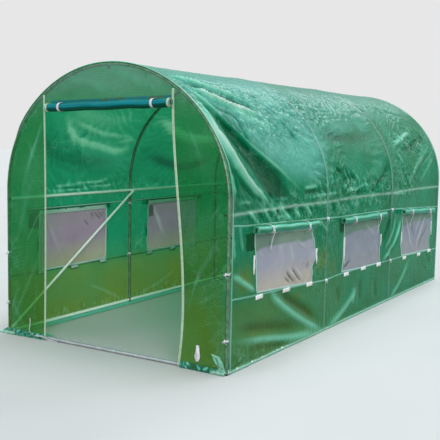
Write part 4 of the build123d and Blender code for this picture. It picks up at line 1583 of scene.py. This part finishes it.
def zip_strip(name, place_x, top, inward):
    heights = np.linspace(0.006, top, 150)
    path = np.stack([place_x(heights), np.full(150, cover_front - 0.0004), heights], -1)
    tape = ribbon(path, (1, 0, 0), (0, -1, 0), zip_width, strap_thickness, 0.0008)
    add_piece(name, tape, zip_cloth, ["door_zips"])

    def on_zip(height, before):
        x = float(place_x(height)) + inward * (half_zip - 0.002)
        return np.array([x, cover_front - before, height])

    heights = np.arange(0.02, top - 0.02, tooth_pitch)
    blocks = [(on_zip(height, 0.003), tooth_size, 0.005) for height in heights]
    slider = on_zip(top - slider_drop, 0.005)
    blocks.append((slider, slider_size, 0.01))
    teeth = [
        (centre + box_corners * size, box_faces, box_corners[:, :2] * uv_size)
        for centre, size, uv_size in blocks
    ]
    pull = slider - [[0, 0.003, 0.004], [0, 0.007, 0.018], [0, 0.005, 0.040]]
    teeth.append(tail_ribbon(pull, (1, 0, 0), 0.007))
    add_piece(f"{name}_teeth", joined(teeth), zip_teeth)


zip_strip("left_door_zip", left_zip_x, top=1.83, inward=1)
zip_strip("right_door_zip", right_zip_x, top=1.862, inward=-1)


# Hook and loop: tabs under the windows and strips beside them, following the film
def cover_slab(side, y, z, width, height, lean=0.0, thickness=0.0022, lift=0.0028):
    """A flat piece on a side wall, centred on y and z; lean shifts its top along the wall."""
    across, drop = np.meshgrid(np.linspace(-0.5, 0.5, 5), np.linspace(0.5, -0.5, 4))
    y = y + across * width + lean * drop * height
    girth = side * girth_at(z + drop * height)
    return slab(on_cover(y, girth, lift + 0.0007 + thickness), on_cover(y, girth, lift))


# Tabs as (distance, height), and strips as (distance, height, length, lean)
tab_places = {
    1: [
        (0.405, 0.458), (0.827, 0.441), (1.208, 0.430), (1.942, 0.408), (2.335, 0.408),
        (2.709, 0.395), (3.443, 0.371), (3.908, 0.353), (4.257, 0.355),
    ],
    -1: [
        (0.36, 0.424), (0.75, 0.420), (1.13, 0.424), (1.83, 0.420), (2.21, 0.422),
        (2.59, 0.420), (3.36, 0.422), (3.73, 0.420), (4.10, 0.422),
    ],
}
strip_places = {
    1: [
        (0.325, 0.69, 0.13, 0.02), (1.322, 0.637, 0.118, 0.01), (1.885, 0.62, 0.22, 0.03),
        (2.745, 0.622, 0.11, 0.02), (3.340, 0.585, 0.12, 0.0), (4.305, 0.60, 0.15, -0.03),
    ],
    -1: [(distance, 0.66, 0.12, 0.0) for distance in (0.315, 1.180, 1.765, 2.645, 3.285, 4.175)],
}
tab_size, patch_size, strip_width = (0.105, 0.032), (0.085, 0.022), 0.018
fasteners, patches, lit_seam_tapes = [], [], []
for side in sides:
    for distance, height in tab_places[side]:
        y = front_y + distance
        fasteners.append(cover_slab(side, y, height, *tab_size))
        patch = cover_slab(side, y, height + 0.006, *patch_size, thickness=0.0003, lift=-0.0036)
        patches.append(patch)
    for distance, height, tall, lean in strip_places[side]:
        fasteners.append(cover_slab(side, front_y + distance, height, strip_width, tall, lean))
    # A pale tape inside along the top seam, painting light on the seam
    y = spaced([cover_front + 0.03, *arch_places[1:3], cover_rear - 0.03], 0.02)
    girth = side * girth_at(seam_height(side, "top", y))[None] + [[-0.004], [0.004]]
    lit_seam_tapes.append(slab(on_cover(y[None], girth, -0.0026), on_cover(y[None], girth, -0.0036)))
add_piece("hook_and_loop_tabs", joined(fasteners), loop_cloth, ["window_tabs"])

# Patches sewn inside, behind the tabs, and a pale tape inside along the top seams, painting light
# on the seams
add_piece("inner_patches", joined(patches + lit_seam_tapes), tape_film)


# Ties: a band round the tube, a knot and two ends
def tube_tie(centre, out, ends):
    centre, out, axis = floats(centre, out, (0, 0, 1))
    third = np.cross(axis, out)
    turned = np.linspace(0, 2 * math.pi, 19)
    outs = out * np.cos(turned)[:, None] + third * np.sin(turned)[:, None]
    radius = tube_radius + 0.0016
    knot = centre + out * (radius + 0.004)
    parts = [
        ribbon(centre + outs * radius, axis, outs, 0.012, 0.0014),
        small_knot(knot, out, axis, 0.014),
    ]
    for swing, drop in ends:
        bend = knot + out * 0.010 + third * swing * 0.4 - axis * 0.008
        points = [knot, bend, knot + third * swing - axis * drop]
        parts.append(tail_ribbon(points, axis * 0.6 + out * 0.8, 0.008))
    return parts


# Ties round the legs as (side, arch, height), and their two ends as (swing, drop) by turns
tie_places = [
    (-1, 0, 0.636), (-1, 0, 0.25), (1, 0, 0.669), (1, 0, 0.23),
    (-1, 1, 0.457), (-1, 1, 0.93), (1, 1, 0.45), (1, 1, 0.90),
    (-1, 2, 0.46), (-1, 2, 0.93), (1, 2, 0.42), (1, 2, 0.88),
]
tie_ends = [[(0.016, 0.026), (-0.022, 0.012)], [(0.022, 0.016), (-0.018, 0.024)]]
ties = []
for index, (side, arch, height) in enumerate(tie_places):
    out = np.array([-0.35 * side, -0.94, 0.0])
    centre = (side * leg_x, arch_places[arch], height)
    ties += tube_tie(centre, out / np.linalg.norm(out), tie_ends[index % 2])
for side in sides:
    for place in arch_places[1:3]:
        for which in ("top", "bottom"):
            knot = on_cover(place, side * girth_at(seam_height(side, which, place)), 0.007)
            ties.append(small_knot(knot, (side, 0, 0), (0, 1, 0), 0.024))
            for swing in (-0.022, 0.018):
                bend = knot + [side * 0.004, swing * 0.6, -0.010]
                end = [knot, bend, knot + [side * 0.003, swing, -0.026]]
                ties.append(tail_ribbon(end, (0, 1, 0), 0.007))
add_piece("arch_ties", joined(ties), strap_cloth)

# Painted shadow of the window rolls: dark film beside two windows a side, as distance, height, and
# how wide and tall it is
roll_shadow_places = [(0.274, 0.850, 0.118, 0.116), (1.828, 0.832, 0.088, 0.108)]
roll_shadows = []
for side in sides:
    for distance, height, wide, tall in roll_shadow_places:
        across, drop = np.meshgrid(np.linspace(-0.5, 0.5, 9), np.linspace(0.5, -0.5, 9))
        y = front_y + distance + across * wide + 0.006 * np.sin(9 * drop)
        points = on_cover(y, side * girth_at(height + drop * tall), 0.0016)
        roll_shadows.append(sheet_grid(points, flip=side > 0))
add_piece("roll_shadow_film", joined(roll_shadows), roll_shadow_film)

# Thin tapes that hang over the right nets, as (distance, height)
tape_lines = [
    [(0.575, 0.87), (0.573, 0.82), (0.577, 0.76)], [(1.19, 0.86), (1.235, 0.80), (1.245, 0.72)],
    [(2.655, 0.85), (2.668, 0.79), (2.66, 0.72)], [(4.25, 0.83), (4.31, 0.72), (4.29, 0.62)],
]
hanging = []
for line in tape_lines:
    distance, height = np.array(line).T
    points = on_cover(front_y + distance, girth_at(height), 0.007)
    hanging.append(tail_ribbon(points, (0, 1, 0), 0.004))
add_piece("hanging_tapes", joined(hanging), strap_cloth)

# Wing nuts under the ridge rail and inside the side rails, where the arches cross them;
# a nut's outline as (radius, height)
nut_outline = [
    (0.0, 0.012), (0.0035, 0.012), (0.0045, 0.008), (0.0055, 0.004), (0.008, 0.0035), (0.008, 0.0),
]


def wing_nut(centre, out):
    centre, out, along = floats(centre, out, (0, 1, 0))
    third = np.cross(out, along)
    turned = np.linspace(0, 2 * math.pi, 13)
    ring = along * np.cos(turned)[:, None] + third * np.sin(turned)[:, None]
    rings = [centre + out * height + ring * radius for radius, height in nut_outline]
    parts = [sheet_grid(np.array(rings))]
    for way in (-1, 1):
        path = [
            centre + out * height + along * way * reach
            for height, reach in ((0.005, 0.003), (0.010, 0.010), (0.016, 0.014))
        ]
        face = out * 0.6 - along * way * 0.8
        parts.append(ribbon(smooth_path(path, 7), face, third, 0.006, 0.0014))
    return parts


nuts = []
for place in arch_places:
    for side in (-1, 1):
        nuts += wing_nut((side * (side_rail_x - rail_radius), place, side_rail_z), (-side, 0, 0))
    nuts += wing_nut((0, place, ridge_rail_z - rail_radius), (0, 0, -1))
add_piece("wing_nuts", joined(nuts), lit_rail_steel)

# Loose straps on the front panels and at the left front foot: points, across and width
loose_plane = np.array([0, cover_front - 0.008, 0])
loose_straps = [
    ([
        (0.776, 0.004, 0.172), (0.770, 0, 0.13), (0.764, -0.003, 0.095), (0.776, -0.002, 0.066),
    ], (0.95, -0.30, 0), 0.022),
    ([
        (0.776, 0.002, 0.172), (0.784, -0.004, 0.13), (0.79, -0.008, 0.095), (0.778, -0.007, 0.066),
    ], (0.95, 0.30, 0), 0.022),
    ([
        (-0.747, 0, 0.15), (-0.744, -0.004, 0.10), (-0.752, -0.004, 0.06), (-0.715, -0.004, 0.022),
    ], (0.9, -0.43, 0), 0.014),
    ([
        (-0.70, -0.004, 0.02), (-0.62, -0.008, 0.03), (-0.54, -0.012, 0.014), (-0.46, -0.014, 0.01),
    ], (0.1, -0.3, 0.95), 0.012),
]
loose = [tail_ribbon(loose_plane + path, across, width) for path, across, width in loose_straps]
add_piece("loose_straps", joined(loose), strap_cloth)


# The cover's front edge turned up and folded over the feet of the front panels
def turned_up(corners, swell, seed):
    """A piece of film between four corners (x, distance before the front plane, z)."""
    low_left, low_right, high_left, high_right = floats(*corners)
    across, up = np.meshgrid(np.linspace(0, 1, 40), np.linspace(0, 1, 12))
    low = low_left * (1 - across[..., None]) + low_right * across[..., None]
    high = high_left * (1 - across[..., None]) + high_right * across[..., None]
    x, before, z = np.moveaxis(low * (1 - up[..., None]) + high * up[..., None], -1, 0)
    creases = crumple(x, z, 0.04, seed)
    ripple = swell * (0.5 + 0.5 * creases) * np.sin(math.pi * np.clip(up, 0.02, 1))
    return sheet_grid(np.stack([x, cover_front - before - ripple, z], -1)), 2.2 * creases


turned = [
    ("front_left_turn_up", teal_film, [
        (-1.062, 0.03, 0.003), (-0.602, 0.012, 0.004),
        (-0.995, 0.004, 0.045), (-0.602, 0.003, 0.04),
    ]),
    ("front_right_turn_up", teal_film, [
        (0.640, 0.014, 0.004), (1.000, 0.020, 0.003), (0.640, 0.003, 0.048), (0.985, 0.004, 0.034),
    ]),
    # The corner fold takes the pale hem film, painting the highlight on its creases
    ("front_right_corner_fold", hem_film, [
        (0.965, 0.008, 0.012), (1.003, 0.006, 0.018), (0.880, 0.005, 0.135), (0.962, 0.006, 0.120),
    ]),
]
for index, (name, finish, corners) in enumerate(turned):
    part, creases = turned_up(corners, 0.010, 171 + index)
    piece = add_piece(name, part, finish, relief=np.clip(creases, -1, 2))
    low_left, low_right, high_left, high_right = (Vector(corner) for corner in corners)
    wide = ((low_right - low_left).length + (high_right - high_left).length) / 2
    tall = ((high_left - low_left).length + (high_right - low_right).length) / 2


# Stage: a plain pale floor, a white surround and soft light
def seen_rays(tree):
    """1 for rays that the camera sees, also through glass or in a mirror, and 0 for others."""
    path = shader(tree, "LightPath")
    mirrored = math_node(
        tree, "MAXIMUM", path.outputs["Is Glossy Ray"], path.outputs["Is Transmission Ray"]
    )
    return math_node(tree, "MAXIMUM", path.outputs["Is Camera Ray"], mirrored)


def stage():
    mesh = bpy.data.meshes.new("floor")
    reach = 60.0
    corners = [(-reach, -reach, 0), (reach, -reach, 0), (reach, reach, 0), (-reach, reach, 0)]
    mesh.from_pydata(corners, [], [(0, 1, 2, 3)])
    material, tree = new_material("pale_floor")
    place, _ = coordinates(tree)
    pale = mixed(tree, noise(tree, place, 0.8), (0.62, 0.62, 0.62, 1), (0.68, 0.68, 0.68, 1))
    shade = mixed(tree, seen_rays(tree), (0.18, 0.19, 0.16, 1), pale)
    surface = shader(tree, "BsdfPrincipled", {"Base Color": shade, "Roughness": 0.9})
    mesh.materials.append(finish_material(material, tree, surface))
    floor = bpy.data.objects.new("floor", mesh)
    bpy.context.scene.collection.objects.link(floor)


# Lamps as strength, width in degrees, the direction they shine from, and tint
cool, white = (0.88, 0.97, 1.0), (1, 1, 1)
lamps = {
    "top_light": (1.8, 40, (0.12, 0.10, 0.98), cool),
    "rear_light": (0.7, 22, (-0.10, 0.80, 0.58), cool),
    "side_light": (0.5, 24, (0.38, 0.80, 0.46), cool),
    "right_light": (1.9, 34, (0.60, -0.72, 0.34), white),
    "left_light": (0.6, 34, (-0.50, -0.82, 0.28), white),
}


def light():
    world = bpy.data.worlds.new("studio")
    bpy.context.scene.world = world
    world.use_nodes = True
    tree = world.node_tree
    tree.nodes.clear()
    plain = shader(tree, "Background", {"Color": (0.95, 0.98, 1.0, 1), "Strength": 0.2})
    bright = shader(tree, "Background", {"Color": (1, 1, 1, 1), "Strength": 0.8})
    both = mixed_shaders(tree, seen_rays(tree), plain, bright)
    tree.links.new(both.outputs[0], shader(tree, "OutputWorld").inputs["Surface"])
    for name, (strength, wide, toward, tint) in lamps.items():
        data = bpy.data.lights.new(name, "SUN")
        data.energy = strength
        data.angle = math.radians(wide)
        data.color = tint
        sun = bpy.data.objects.new(name, data)
        sun.rotation_euler = (-Vector(toward)).to_track_quat("-Z", "Y").to_euler()
        bpy.context.scene.collection.objects.link(sun)


def camera():
    """The photograph's view: from the front right, at eye height."""
    place = Vector((3.6072, front_y - 4.3735, 1.543))
    yaw, pitch, roll = 0.5511, 0.1022, 0.0186
    image_width, focal_pixels = 440, 800.47
    level = math.cos(pitch)
    view = Vector((-math.sin(yaw) * level, math.cos(yaw) * level, -math.sin(pitch)))
    right = Vector((math.cos(yaw), math.sin(yaw), 0))
    up = right.cross(view)
    rolled_right = right * math.cos(roll) + up * math.sin(roll)
    rolled_up = up * math.cos(roll) - right * math.sin(roll)
    data = bpy.data.cameras.new("camera")
    data.sensor_width = 36
    data.lens = focal_pixels * data.sensor_width / image_width
    data.clip_end = 200
    eye = bpy.data.objects.new("camera", data)
    placed = Matrix((rolled_right, rolled_up, -view)).transposed().to_4x4()
    placed.translation = place
    eye.matrix_world = placed
    bpy.context.scene.collection.objects.link(eye)
    bpy.context.scene.camera = eye


stage()
light()
camera()
bpy.context.scene.view_settings.view_transform = "Standard"

bpy.context.view_layer.update()
